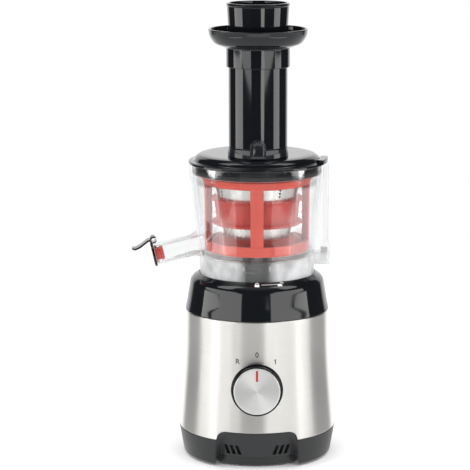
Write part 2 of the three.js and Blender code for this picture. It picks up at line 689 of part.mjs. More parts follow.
function addChassis() {
  const spigot = (height) => shellRadius(height) - SHELL_WALL - GAP;
  const spigotTop = SKIRT_HEIGHT + SPIGOT_HEIGHT;
  const wall = turned([
    [skirtFootRadius - SKIRT_WALL, 0],
    [skirtFootRadius, 0],
    [mix(skirtFootRadius, skirtHeelRadius, 3 / 4), SKIRT_HEEL_HEIGHT / 4],
    [skirtHeelRadius, SKIRT_HEEL_HEIGHT],
    [skirtTopRadius, SKIRT_HEIGHT],
    [spigot(SKIRT_HEIGHT), SKIRT_HEIGHT],
    [spigot(spigotTop), spigotTop],
    [spigot(spigotTop) - SPIGOT_WALL, spigotTop],
    [spigot(SKIRT_HEIGHT) - SPIGOT_WALL, SKIRT_HEIGHT - SKIRT_WALL],
    [skirtHeelRadius - SKIRT_WALL, SKIRT_HEEL_HEIGHT],
  ]);
  const skin = [
    [skirtFootRadius, 0],
    [skirtHeelRadius, SKIRT_HEEL_HEIGHT],
    [skirtTopRadius, SKIRT_HEIGHT],
    [spigot(SKIRT_HEIGHT), SKIRT_HEIGHT],
    [spigot(panelTop), panelTop],
  ];
  const recess = common(notch(NOTCH_WALL), turned([...skin, ...inwards(panelLine, NOTCH_WALL).reverse()]));
  const behind = turned([[0, -OVERRUN], [panelFootRadius, -OVERRUN], ...panelLine, [0, panelTop]]);
  const deckRadius = skirtHeelRadius - SKIRT_WALL / 2;
  const deck = ring(DECK_BORE, deckRadius, DECK_HEIGHT - DECK_THICKNESS, DECK_HEIGHT);
  const deckMiddle = DECK_HEIGHT - DECK_THICKNESS / 2;
  let body = join(wall, recess, deck);
  for (const place of pillarPlaces)
    body = join(body, movedTo(disc(PILLAR_RADIUS, deckMiddle, boxTop, AROUND_SMALL), place));
  for (const place of screwPlaces)
    body = join(body, movedTo(disc(SCREW_BOSS_RADIUS, COVER_THICKNESS + GAP, deckMiddle, AROUND_SMALL), place));
  body = cut(body, cut(notch(0), behind));
  for (const place of pillarPlaces)
    body = cut(body, movedTo(disc(PILLAR_BORE, DECK_HEIGHT - DECK_THICKNESS - GAP, boxTop + OVERRUN,
      AROUND_SMALL), place));
  for (const place of screwPlaces) {
    const bore = disc(SCREW_RADIUS + GAP, 0, COVER_THICKNESS + SCREW_LENGTH, AROUND_SMALL);
    body = cut(body, movedTo(bore, place));
  }
  for (let i = 0; i < VENT_COUNT; i++)
    for (const side of [-1, 1]) {
      const half = [VENT_WIDTH / 2, VENT_LENGTH / 2];
      const slot = box(-half[0], half[0], -skirtTopRadius, -(panelFootRadius - VENT_DEPTH), -half[1], half[1]);
      slot.rotateY(deg(side * VENT_LEAN_DEG));
      body = cut(body, slot.translate(side * (VENT_FIRST + i * VENT_PITCH), 0, VENT_HEIGHT));
    }
  const gland = disc(GLAND_RADIUS + GAP, 0, skirtTopRadius + OVERRUN, AROUND_SMALL);
  body = cut(body, gland.rotateX(-Math.PI / 2).translate(0, skirtHeelRadius / 2, GLAND_HEIGHT));
  piece(base, "chassis", body, "dark_grey");
}

function addBottomCover() {
  const radius = skirtFootRadius - SKIRT_WALL - GAP;
  const inside = inwards(panelLine, NOTCH_WALL + GAP);
  const behind = turned([[0, -OVERRUN], [inside[0][0], -OVERRUN], ...inside, [0, panelTop]]);
  let body = cut(disc(radius, 0, COVER_THICKNESS, AROUND), cut(notch(NOTCH_WALL + GAP), behind));
  const footNames = ["foot_back_right", "foot_back_left", "foot_front_left", "foot_front_right"];
  footNames.forEach((name, i) => {
    const place = around(skirtFootRadius - FOOT_INSET, pillarAngles[i]);
    body = cut(body, movedTo(disc(FOOT_RADIUS + GAP, -OVERRUN, FOOT_SINK), place));
    const foot = piece(base, name, disc(FOOT_RADIUS, -FOOT_STAND, FOOT_SINK - GAP), "rubber");
    foot.position.set(place[0], place[1], 0);
  });
  screwPlaces.forEach((place, i) => {
    const seat = SCREW_HEAD_HEIGHT + GAP;
    body = cut(body, movedTo(disc(SCREW_HEAD_RADIUS + GAP, -OVERRUN, seat, AROUND_SMALL), place));
    body = cut(body, movedTo(disc(SCREW_RADIUS + GAP, 0, COVER_THICKNESS + OVERRUN, AROUND_SMALL), place));
    const head = disc(SCREW_HEAD_RADIUS, 0, SCREW_HEAD_HEIGHT, AROUND_SMALL);
    const shank = disc(SCREW_RADIUS, SCREW_HEAD_HEIGHT / 2, SCREW_LENGTH, AROUND_SMALL);
    const screw = piece(base, "cover_screw_" + (i + 1), join(head, shank), "zinc");
    screw.position.set(place[0], place[1], 0);
  });
  piece(base, "bottom_cover", body, "dark_grey");
}

function addCordGland() {
  const flange = GLAND_RADIUS + GLAND_FLANGE;
  const skirt = [[skirtHeelRadius, SKIRT_HEEL_HEIGHT], [skirtTopRadius, SKIRT_HEIGHT]];
  const wall = radiusAt(skirt, GLAND_HEIGHT + flange);
  const [out, back] = [wall + GAP, wall - SKIRT_WALL - GLAND_FLANGE];
  const body = turned([
    [GLAND_BORE, back], [GLAND_RADIUS, back], [GLAND_RADIUS, out], [flange, out],
    [flange, out + GLAND_FLANGE], [GLAND_BORE, out + GLAND_FLANGE],
  ], AROUND_SMALL);
  piece(base, "cord_gland", body.rotateX(-Math.PI / 2), "rubber").position.set(0, 0, GLAND_HEIGHT);
}

function addSteelShell() {
  const wall = turned([...shellLine, ...inwards(shellLine, SHELL_WALL).reverse()]);
  const hole = disc(SWITCH_BUSH_RADIUS + RUN, -OVERRUN - OVERRUN, OVERRUN, AROUND_SMALL).applyMatrix4(knobFrame);
  piece(base, "steel_shell", cut(wall, notch(GAP), hole), "steel");
}

// Outer line of the collar up to its ridge, and the inside of its wall under the well
const collarLine = [[0, 0], ...COLLAR_BULGE_shares, [1, 1]].map(([up, taper]) => [
  mix(SHELL_TOP_RADIUS, ridgeRadius, taper), mix(collarFoot, collarRidge, up),
]);
const wellUnder = wellFloor - WELL_FLOOR;
const collarInner = radiusAt(collarLine, wellUnder) - COLLAR_WALL;

function addCollar() {
  const chamfer = COLLAR_CHAMFER_shares.map(([way, up]) => [
    mix(ridgeRadius, mouthRadius, way), mix(collarRidge, collarTop, up),
  ]);
  const under = wellUnder;
  const spigot = shellInside - GAP;
  let body = solid(turned([
    ...collarLine, ...chamfer,
    [mouthRadius, collarTop], [wellRadius, collarTop], [wellRadius, wellFloor], [TOWER_RADIUS, wellFloor],
    [TOWER_RADIUS, towerTop], [driveBore, towerTop], [driveBore, towerTop - TOWER_WALL],
    [TOWER_RADIUS - TOWER_WALL, towerTop - TOWER_WALL], [TOWER_RADIUS - TOWER_WALL, under], [collarInner, under],
    [spigot - SPIGOT_WALL, collarFoot], [spigot - SPIGOT_WALL, collarFoot - SPIGOT_HEIGHT],
    [spigot, collarFoot - SPIGOT_HEIGHT], [spigot, collarFoot],
  ]));
  for (const place of pillarPlaces) {
    const [low, high] = [lidPlateTop + GAP, under + WELL_FLOOR / 2];
    body = join(body, movedTo(disc(PILLAR_RADIUS, low, high, AROUND_SMALL), place));
    body = cut(body, movedTo(disc(PILLAR_BORE, lidPlateTop, under, AROUND_SMALL), place));
  }
  const groove = BOWL_FOOT_RADIUS + FOOT_LUG_REACH + RUN;
  const half = FOOT_LUG_HALF_DEG + LUG_SLACK_DEG;
  for (const angle of FOOT_LUG_ANGLES_DEG) {
    const top = bowlFoot + FOOT_LUG_HEIGHT + RUN;
    const end = angle + BOWL_TURN_DEG;
    body = cut(body, sector(TOWER_RADIUS + wellRadius / 2, groove, wellFloor, top, angle - half, end + half));
    const entry = sector(wellRadius / 2, groove, wellFloor, collarTop + OVERRUN, end - half, end + half);
    body = cut(body, entry);
  }
  piece(base, "top_collar", body, "gloss_black");
}

function addReedSwitch() {
  const body = disc(REED_RADIUS, -REED_LENGTH / 2, REED_LENGTH / 2, AROUND_SMALL).rotateX(Math.PI / 2);
  const reed = piece(base, "reed_switch", body, "white");
  reed.position.set(collarInner - REED_INSET, 0, wellUnder - GAP - REED_RADIUS);
}

function addMotor() {
  const can = turned([
    [MOTOR_SHAFT_RADIUS + RUN, motorFoot], [MOTOR_RADIUS, motorFoot], [MOTOR_RADIUS, motorTop],
    [MOTOR_RADIUS - MOTOR_WALL, motorTop], [MOTOR_RADIUS - MOTOR_WALL, motorFoot + MOTOR_FLOOR],
    [MOTOR_SHAFT_RADIUS + RUN, motorFoot + MOTOR_FLOOR],
  ], AROUND_INNER);
  piece(base, "motor_can", can, "zinc");
  const capFoot = motorTop + GAP;
  piece(base, "motor_end_cap", ring(MOTOR_SHAFT_RADIUS + RUN, MOTOR_RADIUS, capFoot,
    capFoot + END_CAP_THICKNESS, AROUND_INNER), "zinc");
  const statorFoot = motorFoot + STATOR_RISE;
  const stator = ring(STATOR_INNER, MOTOR_RADIUS - MOTOR_WALL - GAP, statorFoot,
    statorFoot + STATOR_HEIGHT, AROUND_INNER);
  piece(base, "motor_stator", stator, "iron");
  const rotor = ring(MOTOR_SHAFT_RADIUS + GEAR_BORE_GAP, STATOR_INNER - ROTOR_AIR, statorFoot,
    statorFoot + STATOR_HEIGHT, AROUND_INNER);
  piece(base, "motor_rotor", rotor, "iron");

  const fanTop = DECK_HEIGHT - DECK_THICKNESS - FAN_DROP;
  const fanFoot = fanTop - FAN_HEIGHT;
  const shaft = disc(MOTOR_SHAFT_RADIUS, fanFoot, firstStage + FIRST_FACE, AROUND_SMALL);
  const pinion = raised(toothed(PINION_TEETH, driveModule, 90), firstStage, firstStage + FIRST_FACE);
  piece(base, "motor_shaft", join(shaft, pinion), "iron");

  const bore = MOTOR_SHAFT_RADIUS + GEAR_BORE_GAP;
  let fan = join(ring(bore, FAN_HUB_RADIUS, fanFoot, fanTop, AROUND_SMALL),
    ring(FAN_HUB_RADIUS - FAN_DISC, FAN_RADIUS, fanTop - FAN_DISC, fanTop, AROUND_INNER));
  const blade = box(FAN_HUB_RADIUS - FAN_DISC, FAN_RADIUS - FAN_DISC, -FAN_BLADE / 2, FAN_BLADE / 2, fanFoot,
    fanTop - FAN_DISC / 2);
  for (let i = 0; i < FAN_BLADES; i++)
    fan = join(fan, blade.clone().rotateZ((2 * Math.PI * i) / FAN_BLADES));
  piece(base, "cooling_fan", fan, "white");
}

function addGearbox() {
  const inside = raised(stadium(boxInner, stageCentre), boxFoot + BOX_FLOOR, boxTop + OVERRUN);
  const housing = cut(
    raised(stadium(boxOuter, stageCentre), boxFoot, boxTop),
    inside,
    disc(MOTOR_SHAFT_RADIUS + RUN, boxFoot - OVERRUN, boxTop, AROUND_SMALL),
    movedTo(disc(AXLE_RADIUS + GAP, boxFoot + AXLE_SINK - GAP, boxTop, AROUND_SMALL), [0, stageCentre]),
  );
  piece(base, "gearbox_housing", housing, "dark_grey");

  const wheel = raised(toothed(WHEEL_TEETH, driveModule, 270 + 180 / WHEEL_TEETH),
    firstStage, firstStage + FIRST_FACE);
  const small = raised(toothed(PINION_TEETH, driveModule, 270), firstStage + FIRST_FACE / 2,
    secondStage + SECOND_FACE);
  const cluster = cut(join(wheel, small), disc(AXLE_RADIUS + RUN, boxFoot, boxTop, AROUND_SMALL));
  piece(base, "intermediate_gear", cluster, "white").position.set(0, stageCentre, 0);
  const axle = disc(AXLE_RADIUS, boxFoot + AXLE_SINK, lidPlateFoot + AXLE_SINK, AROUND_SMALL);
  piece(base, "intermediate_axle", axle, "zinc").position.set(0, stageCentre, 0);

  const output = raised(toothed(WHEEL_TEETH, driveModule, 90 + 180 / WHEEL_TEETH), secondStage,
    secondStage + SECOND_FACE);
  piece(base, "output_gear", cut(output, disc(DRIVE_SHAFT_RADIUS + GEAR_BORE_GAP, 0, boxTop)), "iron");

  const bushOuter = driveBore + BUSH_WALL;
  const bushFoot = lidPlateFoot + LID_PLATE_THICKNESS / 2;
  const bushTop = bushFoot + BUSH_LENGTH;
  const housingOuter = bushOuter + GAP + BUSH_HOUSING_WALL;
  const plate = cut(
    join(disc(lidPlateRadius, lidPlateFoot, lidPlateTop, AROUND_MIDDLE), disc(housingOuter, lidPlateFoot, bushTop)),
    disc(driveBore + GAP, 0, lidPlateTop),
    disc(bushOuter + GAP, bushFoot - GAP, bushTop + OVERRUN),
    movedTo(disc(WIRE_HOLE_RADIUS, 0, bushTop), [lidPlateRadius - WIRE_HOLE_INSET, 0]),
    movedTo(disc(WIRE_HOLE_RADIUS, 0, bushTop), [WIRE_HOLE_INSET - lidPlateRadius, 0]),
    ...pillarPlaces.map((place) => movedTo(disc(PILLAR_BORE, 0, bushTop, AROUND_SMALL), place)),
    movedTo(disc(AXLE_RADIUS + GAP, 0, lidPlateFoot + AXLE_SINK + GAP, AROUND_SMALL), [0, stageCentre]),
  );
  piece(base, "gearbox_lid", plate, "dark_grey");
  piece(base, "output_bush", ring(driveBore, bushOuter, bushFoot, bushTop, AROUND_INNER), "brass");
}

// Dogs of the coupling: sectors round the axis, the first one centred on an angle
const dogs = (inner, outer, low, high, first) =>
  Array.from({ length: DOG_COUNT }, (_, i) => {
    const middle = first + (360 * i) / DOG_COUNT;
    return sector(inner, outer, low, high, middle - DOG_ARC_DEG / 2, middle + DOG_ARC_DEG / 2);
  });

function addDriveShaft() {
  const sealFoot = towerTop + GAP;
  const sealTop = sealFoot + DRIVE_SEAL_HEIGHT;
  piece(base, "drive_seal", ring(driveBore, DRIVE_SEAL_RADIUS, sealFoot, sealTop, AROUND_INNER), "rubber");
  const cup = turned([
    [0, secondStage - GAP], [DRIVE_SHAFT_RADIUS, secondStage - GAP], [DRIVE_SHAFT_RADIUS, cupFoot],
    [CUP_RADIUS, cupFoot], [CUP_RADIUS, cupTop], [CUP_BORE, cupTop], [CUP_BORE, cupFoot + CUP_FLOOR],
    [0, cupFoot + CUP_FLOOR],
  ], AROUND_INNER);
  const inner = dogs(CUP_DOG_INNER, (CUP_BORE + CUP_RADIUS) / 2, cupFoot + CUP_FLOOR / 2, cupTop, 0);
  piece(base, "drive_shaft", join(cup, ...inner), "dark_grey");
}

function addKnob() {
  const knob = new THREE.Group();
  knob.applyMatrix4(knobFrame);
  base.add(knob);
  const steel = turned([[0, 0], ...shellLine.map(([r, z]) => [r + GAP, z]), [0, collarTop]]);
  steel.applyMatrix4(knobFrame.clone().invert());
  piece(knob, "knob_bezel", cut(ring(BEZEL_BORE, BEZEL_RADIUS, -BEZEL_DEPTH, BEZEL_STAND, AROUND_MIDDLE), steel), "gloss_black");
  const back = -SWITCH_BACK;
  const bush = disc(SWITCH_BUSH_RADIUS, back - GAP, BEZEL_STAND - GAP, AROUND_SMALL);
  const bore = disc(SPINDLE_RADIUS + RUN, back, BEZEL_STAND + OVERRUN, AROUND_SMALL);
  const body = box(-SWITCH_HALF, SWITCH_HALF, -SWITCH_HALF, SWITCH_HALF, back - SWITCH_DEPTH, back);
  piece(knob, "rotary_switch", cut(join(body, bush), bore), "dark_grey");

  const knobFoot = BEZEL_STAND + KNOB_STAND_OFF;
  const face = knobFoot + KNOB_DEPTH;
  const spindle = disc(SPINDLE_RADIUS, knobFoot - SPINDLE_LENGTH, face - DISC_THICKNESS, AROUND_SMALL);
  piece(knob, "knob_body", join(disc(KNOB_RADIUS, knobFoot, face, AROUND_MIDDLE), spindle), "gloss_black");
  const [discFoot, discTop] = [face + GAP, face + GAP + DISC_THICKNESS];
  const half = POINTER_WIDTH / 2;
  const slot = box(-half - GAP, half + GAP, POINTER_OUTER - POINTER_LENGTH - GAP, POINTER_OUTER + GAP,
    face, discTop + OVERRUN);
  piece(knob, "knob_disc", cut(disc(DISC_RADIUS, discFoot, discTop, AROUND_MIDDLE), slot), "aluminium");
  const pointer = box(-half, half, POINTER_OUTER - POINTER_LENGTH, POINTER_OUTER, discFoot,
    discTop + POINTER_STAND);
  piece(knob, "knob_pointer", pointer, "red");
}

const bowl = new THREE.Group();
juicer.add(bowl);

// Inner line of the bowl's wall above the floor
const bowlInside = [
  [BOWL_WAIST_RADIUS - BOWL_WALL, floorTop], [BOWL_SHOULDER_RADIUS - BOWL_WALL, shoulder],
  [rimInner - RIM_LEDGE, rimTop - RIM_SOCKET_DEPTH], [rimInner, rimTop - RIM_SOCKET_DEPTH],
];
const blockFoot = collarTop + BLOCK_CLEAR;
const blockTop = blockFoot + BLOCK_HEIGHT;
const magnetFoot = blockFoot + CAP_PLATE + GAP + SPRING_HEIGHT + GAP;
const magnetTop = magnetFoot + MAGNET_HEIGHT;
const channelFoot = floorUnder - PULP_CHANNEL_HEIGHT - PULP_WALL;
const pulpFar = PULP_NEAR + PULP_DEEP;

function bowlWall() {
  const cavity = turned([
    [0, floorTop], ...bowlInside, [rimInner, rimTop + OVERRUN], [0, rimTop + OVERRUN],
  ]);
  const footInner = BOWL_FOOT_RADIUS - BOWL_FOOT_WALL;
  const hollow = disc(footInner, bowlFoot - OVERRUN, floorUnder, AROUND);
  const outside = turned([
    [0, bowlFoot], [BOWL_FOOT_RADIUS, bowlFoot], [BOWL_FOOT_RADIUS, floorUnder - BOWL_FLOOR_THICKNESS / 2],
    [BOWL_WAIST_RADIUS, floorUnder + BOWL_FLOOR_THICKNESS / 2], [BOWL_SHOULDER_RADIUS, shoulder],
    [mix(BOWL_SHOULDER_RADIUS, BOWL_RIM_RADIUS, 3 / 4), shoulder + BOWL_RIM_FLARE],
    [BOWL_RIM_RADIUS, rimTop], [0, rimTop],
  ]);
  const column = box(BOWL_FOOT_RADIUS, COLUMN_REACH, -COLUMN_HALF, COLUMN_HALF, blockTop - OVERRUN,
    rimTop - GAP);
  const block = box(footInner, BLOCK_REACH, -BLOCK_HALF, BLOCK_HALF, blockFoot, blockTop);
  const tube = disc(SPOUT_RADIUS, -BOWL_WALL - BOWL_WALL, SPOUT_LENGTH).rotateY(Math.PI / 2);
  return cut(join(outside, column, block, tube.applyMatrix4(spoutFrame)), cavity, hollow);
}

// Ears at the spout's mouth with the bar that the stopper clips on
function stopperEars() {
  const [x, z] = [SPOUT_LENGTH - HINGE_BACK, HINGE_RISE];
  const reach = LEVER_WIDTH / 2 + RUN + HINGE_EAR_THICKNESS;
  const shape = new THREE.Shape();
  shape.moveTo(SPOUT_LENGTH - HINGE_EAR_LENGTH, SPOUT_BORE / 2);
  shape.lineTo(SPOUT_LENGTH, SPOUT_BORE / 2);
  shape.lineTo(SPOUT_LENGTH, HINGE_RISE - HINGE_EAR_RADIUS);
  shape.absarc(x, z, HINGE_EAR_RADIUS, 0, deg(150), false);
  const inner = reach - HINGE_EAR_THICKNESS;
  const ear = (from, to) => raised(shape, from, to, 2).rotateX(Math.PI / 2);
  const bar = disc(HINGE_PIN_RADIUS, -reach, reach, AROUND_SMALL).rotateX(Math.PI / 2).translate(x, 0, z);
  return [ear(inner, reach), ear(-reach, -inner), bar].map((part) => part.applyMatrix4(spoutFrame));
}

function addBowl() {
  const hub = disc(HUB_RADIUS, hubFoot, floorUnder + BOWL_FLOOR_THICKNESS / 2);
  const outerHalf = PULP_HALF_WIDTH + PULP_WALL;
  const channel = box(-outerHalf, outerHalf, PULP_NEAR - PULP_WALL, PULP_MOUTH, channelFoot,
    floorUnder + BOWL_FLOOR_THICKNESS / 2);
  const pinBoss = disc(IDLER_BOSS_RADIUS, floorTop - IDLER_PIN_SINK - GAP - BOWL_FLOOR_THICKNESS / 2,
    floorUnder + BOWL_FLOOR_THICKNESS / 2, AROUND_SMALL).translate(0, -idlerCentre, 0);
  const lugs = FOOT_LUG_ANGLES_DEG.map((angle) => sector(
    BOWL_FOOT_RADIUS - BOWL_FOOT_WALL / 2, BOWL_FOOT_RADIUS + FOOT_LUG_REACH, bowlFoot,
    bowlFoot + FOOT_LUG_HEIGHT, angle - FOOT_LUG_HALF_DEG, angle + FOOT_LUG_HALF_DEG));
  const body = join(bowlWall(), hub, channel, pinBoss, ...lugs, ...stopperEars());

  const bore = disc(SPOUT_BORE, -SPOUT_BORE - BOWL_WALL, SPOUT_LENGTH + OVERRUN).rotateY(Math.PI / 2);
  const under = common(box(-PULP_HALF_WIDTH, PULP_HALF_WIDTH, PULP_NEAR, PULP_MOUTH + OVERRUN,
    channelFoot + PULP_WALL, floorUnder - PULP_WALL),
  box(-outerHalf, outerHalf, 0, PULP_MOUTH + OVERRUN, channelFoot, floorTop));
  const drop = box(-PULP_HALF_WIDTH, PULP_HALF_WIDTH, PULP_NEAR, pulpFar, channelFoot + PULP_WALL,
    floorTop + OVERRUN);
  const slack = ROD_HALF + GAP;
  const rodChannel = box(ROD_PLACE - slack, ROD_PLACE + slack, -slack, slack, magnetFoot, rimTop + OVERRUN);
  const magnetRoom = box(MAGNET_INNER - GAP, MAGNET_OUTER + GAP, -MAGNET_HALF - GAP, MAGNET_HALF + GAP,
    blockFoot - OVERRUN, magnetTop + ROD_TRAVEL + GAP);
  const grooves = LID_LUG_ANGLES_DEG.flatMap((angle) => {
    const reach = skirtOuter + LID_LUG_REACH + RUN;
    const half = LID_LUG_HALF_DEG + LUG_SLACK_DEG;
    const low = flangeFoot - LID_SKIRT_DEPTH + LID_LUG_RISE - RUN;
    const high = low + RUN + LID_LUG_HEIGHT + RUN;
    const end = angle + LID_TURN_DEG;
    return [
      sector(rimInner - RIM_WALL, reach, low, high, angle - half, end + half),
      sector(rimInner - RIM_WALL, reach, low, rimTop + OVERRUN, end - half, end + half),
    ];
  });
  const centre = disc(hubBore, hubFoot - OVERRUN, floorTop + OVERRUN);
  const sealRoom = disc(hubBore + SEAL_WIDTH + GAP, hubFoot - OVERRUN, hubFoot + GAP + SEAL_HEIGHT + GAP);
  const pinHole = disc(IDLER_PIN_RADIUS + GAP, floorTop - IDLER_PIN_SINK - GAP, floorTop + OVERRUN,
    AROUND_SMALL).translate(0, -idlerCentre, 0);
  piece(bowl, "bowl", cut(body, bore.applyMatrix4(spoutFrame), under, drop, rodChannel, magnetRoom,
    ...grooves, centre, sealRoom, pinHole), "clear");
  const sealFoot = hubFoot + GAP;
  piece(bowl, "bowl_seal", ring(hubBore, hubBore + SEAL_WIDTH, sealFoot, sealFoot + SEAL_HEIGHT,
    AROUND_INNER), "red_rubber");
}

function addInterlock() {
  const rod = box(ROD_PLACE - ROD_HALF, ROD_PLACE + ROD_HALF, -ROD_HALF, ROD_HALF, magnetTop + GAP,
    rimTop + ROD_STAND);
  piece(bowl, "interlock_rod", rod, "white");
  piece(bowl, "interlock_magnet", box(MAGNET_INNER, MAGNET_OUTER, -MAGNET_HALF, MAGNET_HALF, magnetFoot,
    magnetTop), "rubber");
  piece(bowl, "interlock_cap", box(MAGNET_INNER, MAGNET_OUTER, -MAGNET_HALF, MAGNET_HALF, blockFoot,
    blockFoot + CAP_PLATE), "clear");

  // The spring is one helix of wire between the cap and the magnet
  const low = blockFoot + CAP_PLATE + GAP + SPRING_WIRE;
  const high = magnetFoot - GAP - SPRING_WIRE;
  const count = SPRING_TURNS * SPRING_STEPS;
  const points = Array.from({ length: count + 1 }, (_, i) => {
    const turn = (2 * Math.PI * i) / SPRING_STEPS;
    return new THREE.Vector3(SPRING_RADIUS * Math.cos(turn), SPRING_RADIUS * Math.sin(turn),
      mix(low, high, i / count));
  });
  const wire = shapeOf(Array.from({ length: SPRING_SIDES }, (_, i) =>
    polar(SPRING_WIRE, (2 * Math.PI * i) / SPRING_SIDES)));
  const path = new THREE.CatmullRomCurve3(points);
  const coil = new THREE.ExtrudeGeometry(wire, { steps: count, extrudePath: path });
  const spring = piece(bowl, "interlock_spring", coil, "zinc");
  spring.position.set((MAGNET_INNER + MAGNET_OUTER) / 2, 0, 0);
}

function addStopper() {
  const stopper = new THREE.Group();
  stopper.applyMatrix4(spoutFrame);
  bowl.add(stopper);
  const [x, z] = [SPOUT_LENGTH - HINGE_BACK, HINGE_RISE];
  const [inner, outer] = [HINGE_PIN_RADIUS + RUN, HINGE_PIN_RADIUS + RUN + CLIP_THICKNESS];
  const half = CLIP_MOUTH_DEG / 2;
  const open = new THREE.Shape();
  open.absarc(x, z, outer, deg(180 + half), deg(540 - half), false);
  open.absarc(x, z, inner, deg(540 - half), deg(180 + half), true);
  const middle = LEVER_shares.map(([out, up]) => new THREE.Vector2(
    x + mix(inner + CLIP_THICKNESS / 2, LEVER_REACH, out), z + LEVER_DROP * up));
  const curve = new THREE.SplineCurve(middle);
  const steps = AROUND_SMALL;
  const side = (sign) => curve.getPoints(steps).map((point, i) => {
    const along = curve.getTangent(i / steps);
    return [point.x - sign * along.y * LEVER_THICKNESS / 2, point.y + sign * along.x * LEVER_THICKNESS / 2];
  });
  const width = (outline) => raised(outline, -LEVER_WIDTH / 2, LEVER_WIDTH / 2).rotateX(Math.PI / 2);
  const capFoot = SPOUT_LENGTH + RUN;
  const cap = disc(CAP_RADIUS, capFoot, capFoot + CAP_THICKNESS).rotateY(Math.PI / 2);
  const neckTop = z - inner - CLIP_THICKNESS / 2;
  const neck = box(capFoot, capFoot + CAP_THICKNESS, -LEVER_WIDTH / 2, LEVER_WIDTH / 2,
    CAP_RADIUS / 2, neckTop);
  const lever = join(width(open), width([...side(1), ...side(-1).reverse()]), neck, cap);
  piece(stopper, "stopper_lever", lever, "gloss_black");
  const profile = PLUG_shares.map(([way, size]) => [SPOUT_BORE * size, SPOUT_LENGTH + RUN - GAP - PLUG_LENGTH * way]);
  const foot = profile[profile.length - 1][1];
  const plug = turned([[0, profile[0][1]], ...profile, [0, foot]], AROUND_INNER).rotateY(Math.PI / 2);
  piece(stopper, "stopper_plug", plug, "red_rubber");
}

function addStrainer() {
  const sieveLine = [[SIEVE_FOOT_RADIUS, sieveFoot], [SIEVE_TOP_RADIUS, sieveTop]];
  const sieve = (height) => radiusAt(sieveLine, height);
  const skin = turned([...sieveLine, ...inwards(sieveLine, SIEVE_WALL).reverse()], AROUND_MIDDLE);
  piece(bowl, "strainer_sieve", skin, "steel");

  const cupInner = SIEVE_FOOT_RADIUS + GAP;
  const cupTopZ = plateTop + STRAINER_CUP_HEIGHT;
  const seat = sieve(cupTopZ) + GAP;
  const plate = turned([
    [STRAINER_HUB_BORE, plateFoot], [STRAINER_PLATE_RADIUS, plateFoot], [STRAINER_PLATE_RADIUS, plateTop],
    [seat + STRAINER_CUP_WALL, cupTopZ], [seat, cupTopZ], [cupInner, plateTop], [STRAINER_HUB_BORE, plateTop],
  ], AROUND_MIDDLE);
  const outerHalf = PULP_HALF_WIDTH + CHUTE_WALL;
  const chute = box(-outerHalf, outerHalf, PULP_NEAR - CHUTE_WALL, pulpFar + CHUTE_WALL, floorTop + GAP,
    plateFoot + STRAINER_PLATE / 2);
  const passage = box(-PULP_HALF_WIDTH, PULP_HALF_WIDTH, PULP_NEAR, pulpFar, floorTop, plateTop + OVERRUN);
  piece(bowl, "strainer_bottom", cut(join(plate, chute), passage), "red_clear");

  const beltFoot = plateTop + BELT_RISE;
  const beltTop = beltFoot + BELT_HEIGHT;
  const [rimLow, rimHigh] = [beltFoot + BELT_RIM_HEIGHT, beltTop - BELT_RIM_HEIGHT];
  piece(bowl, "strainer_belt", turned([
    [sieve(beltFoot) + GAP, beltFoot], [BELT_FOOT_RADIUS, beltFoot], [BELT_FOOT_RADIUS, rimLow],
    [BELT_WAIST_RADIUS, rimLow], [BELT_WAIST_RADIUS, rimHigh], [BELT_TOP_RADIUS, rimHigh],
    [BELT_TOP_RADIUS, beltTop], [sieve(beltTop) + GAP, beltTop], [sieve(rimHigh) + GAP, rimHigh],
    [BELT_WAIST_RADIUS - BELT_WALL - GAP, rimLow], [sieve(rimLow) + GAP, rimLow],
  ], AROUND_MIDDLE), "red_clear");

  const lap = sieve(crownFoot) + GAP;
  const bore = SIEVE_TOP_RADIUS - SIEVE_WALL;
  const [hang, under] = [crownFoot + CROWN_LAP, crownTop - CROWN_WALL];
  piece(bowl, "strainer_top_ring", turned([
    [lap, crownFoot], [lap + CROWN_WALL, crownFoot], [lap + CROWN_WALL, under],
    [CROWN_RADIUS - CROWN_WALL, under], [CROWN_RADIUS - CROWN_WALL, hang], [CROWN_RADIUS, hang],
    [CROWN_RADIUS, crownTop], [bore, crownTop], [bore, sieveTop + GAP], [sieve(sieveTop) + GAP, sieveTop + GAP],
  ], AROUND_MIDDLE), "red_clear");
}

